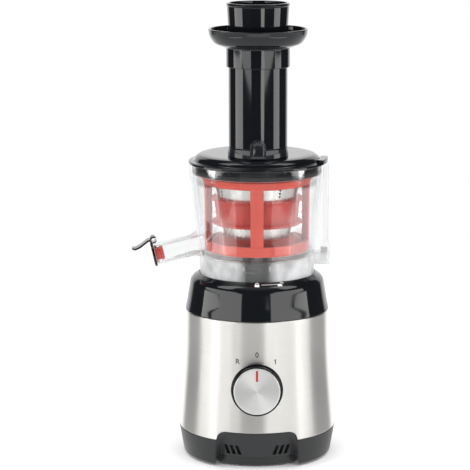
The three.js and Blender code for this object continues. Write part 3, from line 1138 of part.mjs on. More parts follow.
function addBrush() {
  const pitch = (BRUSH_MODULE * RING_TEETH) / 2;
  const outline = shapeOf(Array.from({ length: AROUND_MIDDLE }, (_, i) => polar(CAGE_RADIUS, (2 * Math.PI * i) / AROUND_MIDDLE)));
  outline.holes.push(new THREE.Path(gearOutline(RING_TEETH, BRUSH_MODULE,
    pitch + BRUSH_MODULE * DEDENDUM_share, pitch - BRUSH_MODULE * ADDENDUM_share,
    (BRUSH_MODULE * BACKLASH_share) / 2, -90).map(([x, y]) => new THREE.Vector2(x, y))));
  const teeth = raised(outline, brushGearFoot, brushGearTop);
  const cageRingTop = brushGearFoot + CAGE_RING_HEIGHT;
  const foot = ring(CAGE_RIM_INNER, CAGE_RADIUS, brushGearTop, cageRingTop, AROUND_MIDDLE);
  const flange = cageTopFoot + CAGE_FLANGE_RISE;
  const cageTop = cageTopFoot + CAGE_TOP_HEIGHT;
  const top = turned([
    [CAGE_TOP_INNER, cageTopFoot], [CAGE_TOP_RADIUS, cageTopFoot], [CAGE_SHOULDER_RADIUS, flange],
    [CAGE_FLANGE_RADIUS, flange], [CAGE_FLANGE_RADIUS, flange + CAGE_FLANGE_HEIGHT],
    [CAGE_SHOULDER_RADIUS, flange + CAGE_FLANGE_HEIGHT], [CAGE_SHOULDER_RADIUS, cageTop],
    [CAGE_TOP_INNER, cageTop],
  ], AROUND_MIDDLE);
  const armFoot = (brushGearTop + cageRingTop) / 2;
  const armOuter = [CAGE_RADIUS - GAP, CAGE_TOP_RADIUS - GAP];
  const arm = [
    [armOuter[0] - CAGE_ARM_THICKNESS, armFoot], [armOuter[0], armFoot],
    [armOuter[1], cageTopFoot + GAP], [armOuter[1] - CAGE_ARM_THICKNESS, cageTopFoot + GAP],
  ];
  const angles = Object.values(WIPER_ANGLES_DEG);
  const arms = angles.map((angle) => bladeAt(arm, CAGE_ARM_WIDTH, angle));
  piece(bowl, "brush_cage", join(teeth, foot, top, ...arms), "red");

  // Each wiper is a wedge behind its arm, widest at the foot
  const back = (height) =>
    radiusAt([[arm[0][0], armFoot], [arm[3][0], arm[3][1]]], height) - GAP;
  const wiperFoot = cageRingTop + GAP;
  const wiperTop = cageTopFoot - GAP;
  for (const [side, angle] of Object.entries(WIPER_ANGLES_DEG)) {
    const wedge = [
      [WIPER_INNER, wiperFoot], [back(wiperFoot), wiperFoot], [back(wiperTop), wiperTop],
      [back(wiperTop) - SIEVE_WALL, wiperTop],
    ];
    piece(bowl, "wiper_blade_" + side, bladeAt(wedge, WIPER_WIDTH, angle), "red_rubber");
  }
}

function addBowlGears() {
  const bore = AUGER_SHAFT_RADIUS + GEAR_BORE_GAP;
  const sun = raised(toothed(SUN_TEETH, BRUSH_MODULE, -90), brushGearFoot, brushGearTop);
  piece(bowl, "auger_gear", cut(sun, disc(bore, floorTop, augerFoot)), "white");
  const idler = raised(toothed(IDLER_TEETH, BRUSH_MODULE, -90), brushGearFoot, brushGearTop);
  const idlerGear = piece(bowl, "idler_gear", cut(idler, disc(IDLER_PIN_RADIUS + RUN, 0, augerFoot,
    AROUND_SMALL)), "white");
  idlerGear.position.set(0, -idlerCentre, 0);
  const pin = disc(IDLER_PIN_RADIUS, floorTop - IDLER_PIN_SINK, brushGearTop + GAP, AROUND_SMALL);
  piece(bowl, "idler_pin", pin, "zinc").position.set(0, -idlerCentre, 0);
}

// Four-cornered sections, one after another, joined into a closed body
function swept(places, steps) {
  const faces = [0, 2, 1, 0, 3, 2];
  for (let i = 0; i < steps; i++)
    for (let j = 0; j < 4; j++) {
      const [a, b] = [4 * i + j, 4 * i + ((j + 1) % 4)];
      faces.push(a, b, b + 4, a, b + 4, a + 4);
    }
  const end = 4 * steps;
  faces.push(end, end + 1, end + 2, end, end + 2, end + 3);
  const geometry = new THREE.BufferGeometry();
  geometry.setAttribute("position", new THREE.BufferAttribute(new Float32Array(places), 3));
  return geometry.setIndex(faces);
}

// A screw flight: a section that climbs round the axis, with its outer edge following the sieve
function flight(low, high, innerRadius, outerRadius) {
  const count = Math.round(FLIGHT_TURNS * FLIGHT_STEPS);
  const places = [];
  for (let i = 0; i <= count; i++) {
    const height = mix(low, high, i / count);
    const turn = (2 * Math.PI * i) / FLIGHT_STEPS;
    const corners = [
      [innerRadius(height) / 2, -FLIGHT_THICKNESS / 2], [outerRadius(height), -FLIGHT_THICKNESS / 4],
      [outerRadius(height), FLIGHT_THICKNESS / 4], [innerRadius(height) / 2, FLIGHT_THICKNESS / 2],
    ];
    for (const [radius, up] of corners) places.push(...polar(radius, turn), height + up);
  }
  return swept(places, count);
}

function addAuger() {
  const inside = radiusAt([[SIEVE_FOOT_RADIUS, sieveFoot], [SIEVE_TOP_RADIUS, sieveTop]], augerFoot)
    - SIEVE_WALL - FLIGHT_CLEAR;
  const insideTop = SIEVE_TOP_RADIUS - SIEVE_WALL - FLIGHT_CLEAR;
  const core = [[AUGER_FOOT_RADIUS, augerFoot], [AUGER_TOP_RADIUS, augerTop]];
  const edge = [[inside, augerFoot], [insideTop, sieveTop]];
  const screw = flight(augerFoot + FLIGHT_START, augerFoot + FLIGHT_END,
    (height) => radiusAt(core, height), (height) => radiusAt(edge, Math.min(height, sieveTop)));
  const body = turned([
    [0, plateFoot], [AUGER_HUB_RADIUS, plateFoot], [AUGER_HUB_RADIUS, augerFoot], ...core, [0, augerTop],
  ], AROUND_INNER);
  const bore = disc(AUGER_SHAFT_RADIUS + GEAR_BORE_GAP, floorTop, augerTop + OVERRUN);
  piece(bowl, "auger", cut(join(body, screw), bore), "white");

  const dogFoot = cupFoot + CUP_FLOOR + RUN;
  const journalFoot = cupTop + RUN;
  const shaft = turned([
    [0, dogFoot], [DOG_CORE_RADIUS, dogFoot], [DOG_CORE_RADIUS, journalFoot - RUN],
    [AUGER_JOURNAL_RADIUS, journalFoot - RUN], [AUGER_JOURNAL_RADIUS, brushGearFoot - GAP],
    [AUGER_SHAFT_RADIUS, brushGearFoot - GAP], [AUGER_SHAFT_RADIUS, augerTop],
    [AUGER_PIN_RADIUS, augerTop], [AUGER_PIN_RADIUS, augerTop + AUGER_PIN_LENGTH], [0, augerTop + AUGER_PIN_LENGTH],
  ], AROUND_INNER);
  const first = 360 / DOG_COUNT - DOG_ARC_DEG - DOG_LEAD_DEG;
  const driven = dogs(DOG_CORE_RADIUS / 2, AUGER_JOURNAL_RADIUS, dogFoot, journalFoot, first);
  piece(bowl, "auger_shaft", join(shaft, ...driven), "dark_grey");
}

const lid = new THREE.Group();
juicer.add(lid);

// Room under the tab for the interlock rod: its roof climbs, so that the rod rises as the lid opens
function interlockRamp(inner, outer, low, high) {
  const steps = 8;
  const places = [];
  for (let i = 0; i <= steps; i++) {
    const angle = mix(TAB_LEAD_DEG + TAB_MARGIN_DEG, -TAB_TAIL_DEG - TAB_MARGIN_DEG, i / steps);
    const roof = high + Math.max(0, -angle / LID_TURN_DEG) * ROD_TRAVEL;
    for (const [radius, height] of [[inner, low], [outer, low], [outer, roof], [inner, roof]])
      places.push(...around(radius, angle), height);
  }
  return swept(places, steps);
}

function addLid() {
  const skirtFoot = flangeFoot - LID_SKIRT_DEPTH;
  const flangeTop = flangeFoot + LID_FLANGE_THICKNESS;
  const dome = LID_DOME_shares.map(([way, up]) => [
    mix(lidShoulderRadius, lidFlatRadius, way), mix(flangeFoot, lidTop, up),
  ]);
  const under = dome.map(([radius, height]) => [radius - LID_WALL, Math.min(height, lidTop - LID_WALL)]);
  const cap = turned([
    [skirtOuter, skirtFoot], [skirtOuter, flangeFoot], [lidFlangeRadius, flangeFoot],
    [lidFlangeRadius, mix(flangeFoot, flangeTop, 3 / 4)], [mix(lidFlangeRadius, skirtOuter, 1 / 4), flangeTop],
    ...dome, [lidFlatRadius, lidTop], [0, lidTop], [0, lidTop - LID_WALL],
    [lidFlatRadius - LID_WALL, lidTop - LID_WALL], ...under.slice(0, -1).reverse(),
    [skirtOuter - LID_WALL, skirtFoot],
  ]);
  const presser = ring(LID_RING_RADIUS - LID_RING_WALL, LID_RING_RADIUS, crownTop + GAP,
    lidTop - LID_WALL / 2, AROUND_MIDDLE);
  const bossTop = lidTop - TUBE_DROP - GAP;
  const bossFoot = bossTop - LID_BOSS_DEPTH;
  const boss = disc(LID_BOSS_RADIUS, bossFoot, bossTop);
  const rib = box(-LID_RIB_HALF, LID_RIB_HALF, LID_BOSS_RADIUS / 2, LID_RIB_REACH, mix(bossFoot, bossTop, 1 / 4),
    lidTop - LID_WALL / 2);
  const lugs = LID_LUG_ANGLES_DEG.map((angle) => sector(skirtOuter - LID_WALL / 2, skirtOuter + LID_LUG_REACH,
    skirtFoot + LID_LUG_RISE, skirtFoot + LID_LUG_RISE + LID_LUG_HEIGHT, angle - LID_LUG_HALF_DEG,
    angle + LID_LUG_HALF_DEG));
  const hole = movedTo(disc(neckRadius + GAP, bossTop, lidTop + OVERRUN, AROUND_MIDDLE), [TUBE_ASIDE, -TUBE_FORWARD]);
  const pinHole = disc(AUGER_PIN_RADIUS + RUN, bossFoot - OVERRUN, augerTop + AUGER_PIN_LENGTH + GAP);
  const tab = sector(tabInner, tabReach, flangeFoot + LID_FLANGE_THICKNESS / 2, rimTop + TAB_HEIGHT,
    -TAB_TAIL_DEG, TAB_LEAD_DEG);
  const ramp = interlockRamp(ROD_PLACE - ROD_HALF - RUN, tabReach + OVERRUN, rimTop - OVERRUN,
    rimTop + ROD_STAND + TAB_GAP);
  const body = join(cap, presser, boss, rib, tab, ...lugs);
  piece(lid, "lid", cut(body, hole, pinHole, ramp), "gloss_black");
  const ledge = rimTop - RIM_SOCKET_DEPTH;
  piece(lid, "lid_seal", ring(skirtOuter - LID_SEAL_WIDTH, skirtOuter, ledge + GAP, skirtFoot - GAP), "rubber");
}

function addFeedTube() {
  const tube = new THREE.Group();
  tube.position.set(TUBE_ASIDE, -TUBE_FORWARD, 0);
  lid.add(tube);
  const bootFoot = lidTop + GAP;
  const bootTop = bootFoot + BOOT_HEIGHT;
  const neckFoot = lidTop - TUBE_DROP;
  piece(tube, "feed_tube", turned([
    [tubeInner, neckFoot], [neckRadius, neckFoot], [neckRadius, bootTop], [TUBE_RADIUS, bootTop + GAP],
    [TUBE_RADIUS, tubeTop], [tubeInner, tubeTop],
  ], AROUND_MIDDLE), "gloss_black");
  const [inner, outer] = [TUBE_RADIUS + GAP, bootRadius + TONGUE_STAND];
  const middle = -90;
  const tongue = sector(inner, outer, bootFoot + GAP, bootFoot + TONGUE_RISE, middle - TONGUE_HALF_DEG,
    middle + TONGUE_HALF_DEG);
  const round = bootRadius * Math.sin(deg(TONGUE_HALF_DEG));
  const arch = new THREE.Shape();
  arch.moveTo(-round - OVERRUN, bootFoot);
  arch.lineTo(round + OVERRUN, bootFoot);
  arch.lineTo(round + OVERRUN, bootFoot + TONGUE_RISE - round);
  arch.absarc(0, bootFoot + TONGUE_RISE - round, round, 0, Math.PI, false);
  arch.lineTo(-round - OVERRUN, bootFoot + TONGUE_RISE - round);
  const rounded = common(tongue, frontal(arch, 0, outer + OVERRUN));
  const sleeve = ring(neckRadius + GAP, bootRadius, bootFoot, bootTop, AROUND_MIDDLE);
  piece(tube, "tube_boot", join(sleeve, rounded), "boot_grey");

  const collarInner = TUBE_RADIUS + GAP;
  const collarOuter = collarInner + TRAY_COLLAR_WALL;
  const trayFloor = trayFloorTop - TRAY_FLOOR;
  const line = TRAY_BOWL_shares.map(([out, up]) => [
    mix(collarOuter + TRAY_FLAT, trayRadius, out), mix(trayFloor, trayFloorTop + TRAY_HEIGHT, up),
  ]);
  const dish = line.map(([radius, height]) => [
    radius - (height > trayFloorTop ? TRAY_WALL : 0), Math.max(height, trayFloorTop),
  ]);
  const plungerRadius = tubeInner - PUSHER_CLEAR;
  piece(tube, "tray", turned([
    [collarInner, trayFloor - TRAY_COLLAR_DEPTH], [collarOuter, trayFloor - TRAY_COLLAR_DEPTH],
    [collarOuter, trayFloor], ...line, ...dish.reverse(), [tubeInner, trayFloorTop], [tubeInner, trayFloor],
    [collarInner, trayFloor],
  ], AROUND_MIDDLE), "gloss_black");

  const headFoot = trayFloorTop + GAP;
  const lipFoot = pusherTop - PUSHER_LIP;
  const lipRadius = mix(headFootRadius, headTopRadius, (lipFoot - headFoot) / (pusherTop - headFoot));
  piece(tube, "pusher", turned([
    [0, pusherFoot], [plungerRadius, pusherFoot], [plungerRadius, headFoot], [headFootRadius, headFoot],
    [lipRadius, lipFoot], [headTopRadius + PUSHER_LIP_STAND, mix(lipFoot, pusherTop, 1 / 3)],
    [headTopRadius, pusherTop],
    [headTopRadius - PUSHER_WALL, pusherTop], [headFootRadius - PUSHER_WALL, headFoot + PUSHER_WALL],
    [plungerRadius - PUSHER_WALL, headFoot], [plungerRadius - PUSHER_WALL, pusherFoot + PUSHER_WALL],
    [0, pusherFoot + PUSHER_WALL],
  ], AROUND_MIDDLE), "gloss_black");
}

addChassis();
addBottomCover();
addCordGland();
addSteelShell();
addCollar();
addReedSwitch();
addMotor();
addGearbox();
addDriveShaft();
addKnob();
addBowl();
addInterlock();
addStopper();
addStrainer();
addBrush();
addBowlGears();
addAuger();
addLid();
addFeedTube();

export default juicer;
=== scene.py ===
# %% [markdown]
# # A cold press juicer in Blender
# The juicer's frame comes from its CAD model, with every moving part on its own body. Here each piece that
# shows is drawn again as a smooth surface in the same place, and gets its finish. All tables are in
# millimetres.

import json

import bmesh
import bpy
import numpy as np
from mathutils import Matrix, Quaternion, Vector


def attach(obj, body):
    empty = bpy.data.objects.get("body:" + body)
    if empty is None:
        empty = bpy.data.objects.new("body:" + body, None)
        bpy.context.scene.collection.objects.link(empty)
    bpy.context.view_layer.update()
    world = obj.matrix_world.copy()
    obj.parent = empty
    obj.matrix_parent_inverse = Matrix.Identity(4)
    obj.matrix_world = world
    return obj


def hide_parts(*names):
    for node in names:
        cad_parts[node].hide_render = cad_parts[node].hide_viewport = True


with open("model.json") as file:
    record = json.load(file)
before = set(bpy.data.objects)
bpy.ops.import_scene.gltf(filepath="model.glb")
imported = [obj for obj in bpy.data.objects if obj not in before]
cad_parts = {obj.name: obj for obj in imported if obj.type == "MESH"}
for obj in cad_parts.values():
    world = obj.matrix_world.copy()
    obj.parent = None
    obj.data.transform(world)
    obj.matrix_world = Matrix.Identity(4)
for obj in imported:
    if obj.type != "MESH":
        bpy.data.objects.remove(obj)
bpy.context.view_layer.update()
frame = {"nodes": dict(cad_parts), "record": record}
nodes = frame["nodes"]
MM = 0.001

# %% [markdown]
# ## Camera
# The camera stands about two metres in front of the juicer and looks slightly down on it. The long lens
# keeps the tall tube from leaning. A small sideways shift puts the axis where the picture has it, right of
# the middle.

# %% Camera
CAMERA_DISTANCE, CAMERA_HEIGHT = 1.935, 0.5785
CAMERA_PITCH = np.radians(10.74)
SENSOR_WIDTH = 36.0
FRAME_PIXELS, FOCAL_PIXELS, SHIFT_PIXELS = 470, 2050, -22
camera_data = bpy.data.cameras.new("camera")
camera_data.sensor_width = SENSOR_WIDTH
camera_data.lens = SENSOR_WIDTH * FOCAL_PIXELS / FRAME_PIXELS
camera_data.shift_x = SHIFT_PIXELS / FRAME_PIXELS
camera = bpy.data.objects.new("camera", camera_data)
camera.location = (0, -CAMERA_DISTANCE, CAMERA_HEIGHT)
camera.rotation_euler = (np.pi / 2 - CAMERA_PITCH, 0, 0)
bpy.context.scene.collection.objects.link(camera)
bpy.context.scene.camera = camera
bpy.context.scene.view_settings.view_transform = "Standard"
print("lens", round(camera_data.lens, 1), "mm")

# %% [markdown]
# ## Surfaces from numpy
# Nearly every piece is round, so most of them are a profile turned about an axis. A sheet is a grid of
# points with two parameters. The helpers round the corners of a profile, turn it, and put the grids into
# one mesh with a map that runs round the piece and along its profile.

# %% Rounded profiles
LONGEST_TRIM = 0.36
FLAT_BEYOND = 1.3


def rounded(points, radius=0.6, steps=4, closed=True):
    """Swaps each corner for a curve, B(t) = (1-t)^2 a + 2t(1-t) c + t^2 b, that starts and ends a radius away
    from the corner c. One more point before and after it keeps the shading flat beyond the curve."""
    points = np.asarray(points, float)
    radius = np.broadcast_to(radius, len(points)).astype(float)
    back, ahead = np.roll(points, 1, 0) - points, np.roll(points, -1, 0) - points
    far_back, far_ahead = np.linalg.norm(back, axis=1), np.linalg.norm(ahead, axis=1)
    trim = np.minimum(radius, LONGEST_TRIM * np.minimum(far_back, far_ahead))
    a = points + back * (trim / far_back)[:, None]
    b = points + ahead * (trim / far_ahead)[:, None]
    t = np.linspace(0, 1, steps + 1)[None, :, None]
    curve = (1 - t) ** 2 * a[:, None] + 2 * t * (1 - t) * points[:, None] + t ** 2 * b[:, None]
    before = points + back * (FLAT_BEYOND * trim / far_back)[:, None]
    after = points + ahead * (FLAT_BEYOND * trim / far_ahead)[:, None]
    rows = np.concatenate([before[:, None], curve, after[:, None]], 1)
    if not closed:
        return np.concatenate([points[:1], rows[1:-1].reshape(-1, 2), points[-1:]])
    return rows.reshape(-1, 2)


def turned(profile, sides=160, start=0.0, end=2 * np.pi):
    """A grid [angle, place on the profile] with x = r cos, y = r sin and z the height of the profile."""
    full = abs(end - start - 2 * np.pi) < 1e-9
    angle = np.linspace(start, end, sides, endpoint=not full)[:, None]
    r, z = np.asarray(profile, float).T
    return np.stack([r * np.cos(angle), r * np.sin(angle), z + 0 * angle], -1)


# %% Grids into a mesh
def surface(name, grids):
    """One mesh of several grids. Each grid is (points, wraps round u, wraps round v), and a row whose points
    all meet closes an end."""
    places, corners, maps, first = [], [], [], 0
    for points, wrap_u, wrap_v in grids:
        rows, cols = points.shape[:2]
        u, v = np.meshgrid(np.arange(rows - (not wrap_u)), np.arange(cols - (not wrap_v)), indexing="ij")
        next_u, next_v = (u + 1) % rows, (v + 1) % cols
        corner = np.stack([u * cols + v, next_u * cols + v, next_u * cols + next_v, u * cols + next_v], -1)
        across = np.stack([u, u + 1, u + 1, u], -1) / rows
        along = np.stack([v, v, v + 1, v + 1], -1) / cols
        maps.append(np.stack([across, along], -1).reshape(-1, 2))
        places.append(points.reshape(-1, 3))
        corners.append(corner.reshape(-1, 4) + first)
        first += rows * cols
    places, corners = np.concatenate(places) * MM, np.concatenate(corners).astype(np.int32)
    mesh = bpy.data.meshes.new(name)
    mesh.vertices.add(len(places))
    mesh.vertices.foreach_set("co", places.astype(np.float32).ravel())
    mesh.loops.add(corners.size)
    mesh.loops.foreach_set("vertex_index", corners.ravel())
    mesh.polygons.add(len(corners))
    mesh.polygons.foreach_set("loop_start", np.arange(0, corners.size, 4, dtype=np.int32))
    mesh.update(calc_edges=True)
    flat_map = np.concatenate(maps).astype(np.float32).ravel()
    mesh.uv_layers.new(name="map").data.foreach_set("uv", flat_map)
    shape = bmesh.new()
    shape.from_mesh(mesh)
    bmesh.ops.remove_doubles(shape, verts=shape.verts, dist=1e-6)
    bmesh.ops.recalc_face_normals(shape, faces=shape.faces)
    shape.to_mesh(mesh)
    shape.free()
    return mesh


def show(name, mesh, body, finish, replaces=()):
    """Puts a mesh in the scene, with its finish, on the body it moves with."""
    mesh.polygons.foreach_set("use_smooth", np.ones(len(mesh.polygons), bool))
    mesh.materials.clear()
    mesh.materials.append(finish)
    thing = bpy.data.objects.new(name, mesh)
    bpy.context.scene.collection.objects.link(thing)
    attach(thing, body)
    if replaces:
        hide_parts(*replaces)
    print(f"{name}: {len(mesh.polygons)} faces")
    return thing


def piece(name, grids, body, finish, replaces=()):
    """A piece that needs no joining or cutting."""
    return show(name, surface(name, grids), body, finish, replaces)


def carve(name, solids, cuts=(), crease=32.0):
    """Joins closed surfaces into one body, cuts others out of it, and marks the creases that are left."""
    tools = []
    for mesh in [*solids, *cuts]:
        tool = bpy.data.objects.new(name + "_tool", mesh)
        bpy.context.scene.collection.objects.link(tool)
        tools.append(tool)
    for number, tool in enumerate(tools[1:], 1):
        step = tools[0].modifiers.new("step", "BOOLEAN")
        step.object = tool
        step.solver = "MANIFOLD"
        step.operation = "UNION" if number < len(solids) else "DIFFERENCE"
    finished = tools[0].evaluated_get(bpy.context.evaluated_depsgraph_get())
    shaped = bpy.data.meshes.new_from_object(finished)
    shaped.name = name
    for tool in tools:
        spare = tool.data
        bpy.data.objects.remove(tool)
        bpy.data.meshes.remove(spare)
    shaped.set_sharp_from_angle(angle=np.radians(crease))
    return shaped


def placed(grid, origin, axes):
    """Moves a grid of local x, y, z onto an origin and three axes."""
    return np.asarray(origin, float) + grid @ np.asarray(axes, float)


def extruded(outline, low, high, rounding=0.5, steps=3):
    """An outline (a, b) run from one level to another, with the level as third number. Near both ends it
    shrinks towards its middle by r(1 - sin t) while the level moves by r(1 - cos t), to round the edges."""
    outline = np.asarray(outline, float)
    middle = outline.mean(0)
    reach = np.linalg.norm(outline - middle, axis=1)
    r = min(rounding, 0.45 * (high - low), 0.6 * reach.min())
    t = np.linspace(0, np.pi / 2, steps + 1)
    shrink = np.concatenate([r * (1 - np.sin(t)), r * (1 - np.sin(t[::-1]))])
    level = np.concatenate([low + r * (1 - np.cos(t)), high - r * (1 - np.cos(t[::-1]))])
    factor = 1 - shrink[:, None] / reach
    rings = middle + (outline - middle) * factor[..., None]
    grid = np.concatenate([rings, np.broadcast_to(level[:, None, None], rings.shape[:2] + (1,))], -1)
    ends = [np.full((1, len(outline), 3), (*middle, level[k])) for k in (0, -1)]
    return np.concatenate([ends[0], grid, ends[1]], 0), False, True


def block(low, high, rounding=0.8):
    """A box with all its edges rounded."""
    (x0, y0, z0), (x1, y1, z1) = low, high
    outline = rounded([(x0, y0), (x1, y0), (x1, y1), (x0, y1)], 1.4 * rounding, 5)
    return extruded(outline, z0, z1, rounding)


def sector(profile, start_deg, end_deg, sides=24):
    """A profile turned through a part of a circle, with its two ends closed."""
    grid = turned(profile, sides, np.radians(start_deg), np.radians(end_deg))
    ends = [np.broadcast_to(grid[k].mean(0), grid[k].shape)[None] for k in (0, -1)]
    return np.concatenate([ends[0], grid, ends[1]], 0), False, True


print("helpers ready")

# %% [markdown]
# ## Finishes
# Every finish is a small graph of nodes. Moulded plastic has a faint cloudiness in its colour, a roughness
# that changes a little over the part, and a very low grain from the mould. Patterns are read in object
# coordinates, in metres, so the same grain has the same size on each piece.

# %% A short way to write nodes
def writer(tree):
    """Empties a tree, and gives a function that adds a node to it with its sockets set or linked."""
    tree.nodes.clear()

    def add(kind, sockets=None, **settings):
        node = tree.nodes.new("ShaderNode" + kind)
        for key, value in settings.items():
            setattr(node, key, value)
        for key, value in (sockets or {}).items():
            if isinstance(value, bpy.types.NodeSocket):
                tree.links.new(value, node.inputs[key])
            else:
                node.inputs[key].default_value = value
        return node

    return add


def start(name):
    """A new material, and the function that adds its nodes."""
    material = bpy.data.materials.new(name)
    material.use_nodes = True
    return material, writer(material.node_tree)


def maths(add, operation, first, second=0.5):
    """The result of one sum, such as ADD or MULTIPLY, of two values."""
    return add("Math", {0: first, 1: second}, operation=operation).outputs[0]


def ramp(add, value, start_at, full_at, low=0.0, high=1.0):
    """Runs from low to high while a value goes from start_at to full_at, and holds beyond both."""
    return add("MapRange", {"Value": value, "From Min": start_at, "From Max": full_at,
                            "To Min": low, "To Max": high}).outputs[0]


# %% Noise
NOISE_LOW, NOISE_HIGH = 0.3, 0.7


def cloud(add, stretch, scale, detail=3.0, source="Object"):
    """Noise in object coordinates, or in those of the map, stretched by three factors."""
    coords = add("TexCoord").outputs[source]
    longer = add("VectorMath", {0: coords, 1: stretch}, operation="MULTIPLY").outputs[0]
    return add("TexNoise", {"Vector": longer, "Scale": scale, "Detail": detail}).outputs[0]


def between(add, value, low, high):
    """Maps noise, which mostly lies from NOISE_LOW to NOISE_HIGH, onto a range."""
    return ramp(add, value, NOISE_LOW, NOISE_HIGH, low, high)


def toned(add, colour, noise, low, high):
    """A colour whose brightness follows noise, from low to high times its own."""
    value = between(add, noise, low, high)
    return add("HueSaturation", {"Color": (*colour, 1), "Value": value}).outputs[0]


# %% Moulded plastic
def moulded(name, colour, roughness, spread=0.04, grain=900.0, height=0.00004, strength=0.25):
    """Moulded plastic or rubber: cloudy colour, uneven gloss and the grain of the mould."""
    material, add = start(name)
    soft = cloud(add, (1, 1, 1), 22.0)
    fine = cloud(add, (1, 1, 1), grain, 2.0)
    tone = toned(add, colour, soft, 0.9, 1.1)
    rough = between(add, soft, roughness - spread, roughness + spread)
    bump = add("Bump", {"Strength": strength, "Distance": height, "Height": fine}).outputs[0]
    shader = add("BsdfPrincipled", {"Base Color": tone, "Roughness": rough, "Normal": bump})
    add("OutputMaterial", {"Surface": shader.outputs[0]})
    return material


# %% [markdown]
# Brushed steel is a metal with fine scratches that all run one way. On the shell they run round the body,
# so the noise is stretched flat and the reflections spread up and down into soft vertical bands.

# %% Metals
SCRATCH_DEPTH = 0.00002


def brushed(name, colour, roughness, stretch, spread=0.06, anisotropic=0.0):
    """Metal with streaks: noise squeezed along one direction drives the roughness and a very low bump."""
    material, add = start(name)
    lines = cloud(add, stretch, 1.0, 2.0)
    soft = cloud(add, (1, 1, 1), 9.0)
    tone = toned(add, colour, lines, 0.965, 1.035)
    rough = between(add, lines, roughness - spread, roughness + spread)
    rough = maths(add, "ADD", rough, between(add, soft, -0.02, 0.02))
    bump = add("Bump", {"Strength": 0.3, "Distance": SCRATCH_DEPTH, "Height": lines}).outputs[0]
    around = add("Tangent", direction_type="RADIAL", axis="Z").outputs[0]
    shader = add("BsdfPrincipled", {
        "Base Color": tone, "Metallic": 1.0, "Roughness": rough, "Normal": bump, "Anisotropic": anisotropic,
        "Anisotropic Rotation": 0.25, "Tangent": around})
    add("OutputMaterial", {"Surface": shader.outputs[0]})
    return material


def spun(name, colour, roughness):
    """Turned aluminium: rings of tiny grooves that follow the map round the disc, so light makes cones."""
    material, add = start(name)
    rings = cloud(add, (0.4, 90.0, 0.0), 1.0, 2.0, "UV")
    tone = toned(add, colour, rings, 0.95, 1.05)
    bump = add("Bump", {"Strength": 0.2, "Distance": SCRATCH_DEPTH, "Height": rings}).outputs[0]
    rough = between(add, rings, roughness - 0.04, roughness + 0.04)
    around = add("Tangent", direction_type="UV_MAP").outputs[0]
    shader = add("BsdfPrincipled", {
        "Base Color": tone, "Metallic": 1.0, "Roughness": rough, "Normal": bump, "Anisotropic": 0.6,
        "Tangent": around})
    add("OutputMaterial", {"Surface": shader.outputs[0]})
    return material


# %% [markdown]
# The bowl is clear polycarbonate about two millimetres thick. Such thin walls hardly bend the light, so the
# finish lets it straight through, tints it a little, and adds the mirror of the lamps and a grey edge where
# the wall turns away from the eye. The red strainer parts work in the same way with more colour. The bowl's
# foot is a thick moulding that scatters light and looks white, so a cloudy share is added there. Before the
# dark drive in the middle this share is kept thin, as painted shade where the hub blocks the light.

# %% The thick foot, with painted shade before the hub
FOOT_TOP, FOOT_FADE = 0.197, 0.004
# The foot's haze drops to a small share within HUB_SIDE of the middle: painted shade where the dark drive's
# hub stands behind the wall.
HUB_SIDE, HUB_CLEAR, HUB_PAINTED_SHADE = 0.010, 0.020, 0.12
FOOT_SIDE, FOOT_INSIDE = 0.070, 0.066
UNEVEN = (60.0, 60.0, 45.0)


def foot_haze_and_painted_shade(add, foot):
    """The share of light that the foot scatters, by the place on the bowl in metres: foot below FOOT_TOP,
    times a small share within HUB_SIDE of the middle, which is painted shade where the dark drive's hub stands
    behind the wall, times nothing beyond FOOT_SIDE, times a soft noise."""
    place = add("SeparateXYZ", {0: add("TexCoord").outputs["Object"]})
    off_axis = maths(add, "ABSOLUTE", place.outputs["X"])
    beside = ramp(add, off_axis, HUB_SIDE, HUB_CLEAR, HUB_PAINTED_SHADE)
    within = ramp(add, off_axis, FOOT_SIDE, FOOT_INSIDE)
    below = ramp(add, place.outputs["Z"], FOOT_TOP, FOOT_TOP - FOOT_FADE, 0.0, foot)
    thick = maths(add, "MULTIPLY", maths(add, "MULTIPLY", beside, within), below)
    return maths(add, "MULTIPLY", thick, between(add, cloud(add, UNEVEN, 1.0), 0.5, 1.35))


# %% See-through plastics
PLASTIC_IOR = 1.5


def see_through(name, face, edge, body_colour, haze, haze_edge, roughness, gloss, power, foot=0.0):
    """Light passes with a tint that goes from face to edge, a share of it, from haze to haze_edge, meets a
    cloudy body, and gloss times Fresnel's share is mirrored. Both go by (the wall's turn away) ^ power."""
    material, add = start(name)
    facing = add("LayerWeight", {"Blend": 0.5}).outputs["Facing"]
    turn = maths(add, "POWER", facing, power)
    soft = cloud(add, (1, 1, 1), 30.0)
    tint = add("Mix", {0: turn, 6: (*face, 1), 7: (*edge, 1)}, data_type="RGBA").outputs[2]
    through = add("BsdfTransparent", {"Color": tint}).outputs[0]
    tone = toned(add, body_colour, soft, 0.93, 1.07)
    lit_face = add("BsdfDiffuse", {"Color": tone}).outputs[0]
    lit_back = add("BsdfTranslucent", {"Color": tone}).outputs[0]
    cloudy = add("MixShader", {0: 0.5, 1: lit_face, 2: lit_back}).outputs[0]
    share = ramp(add, turn, 0.0, 1.0, haze, haze_edge)
    # Where the foot is on, its haze share carries painted shade before the drive's hub.
    if foot > 0:
        share = maths(add, "MAXIMUM", share, foot_haze_and_painted_shade(add, foot))
    inner = add("MixShader", {0: share, 1: through, 2: cloudy}).outputs[0]
    ripple = cloud(add, (1, 1, 1), 55.0, 1.0)
    bump = add("Bump", {"Strength": 0.1, "Distance": 0.0002, "Height": ripple}).outputs[0]
    rough = between(add, soft, roughness * 0.7, roughness * 1.3)
    shine = add("BsdfGlossy", {"Color": (1, 1, 1, 1), "Roughness": rough, "Normal": bump}).outputs[0]
    mirror = maths(add, "MULTIPLY", add("Fresnel", {"IOR": PLASTIC_IOR}).outputs[0], gloss)
    add("OutputMaterial", {"Surface": add("MixShader", {0: mirror, 1: inner, 2: shine}).outputs[0]})
    return material


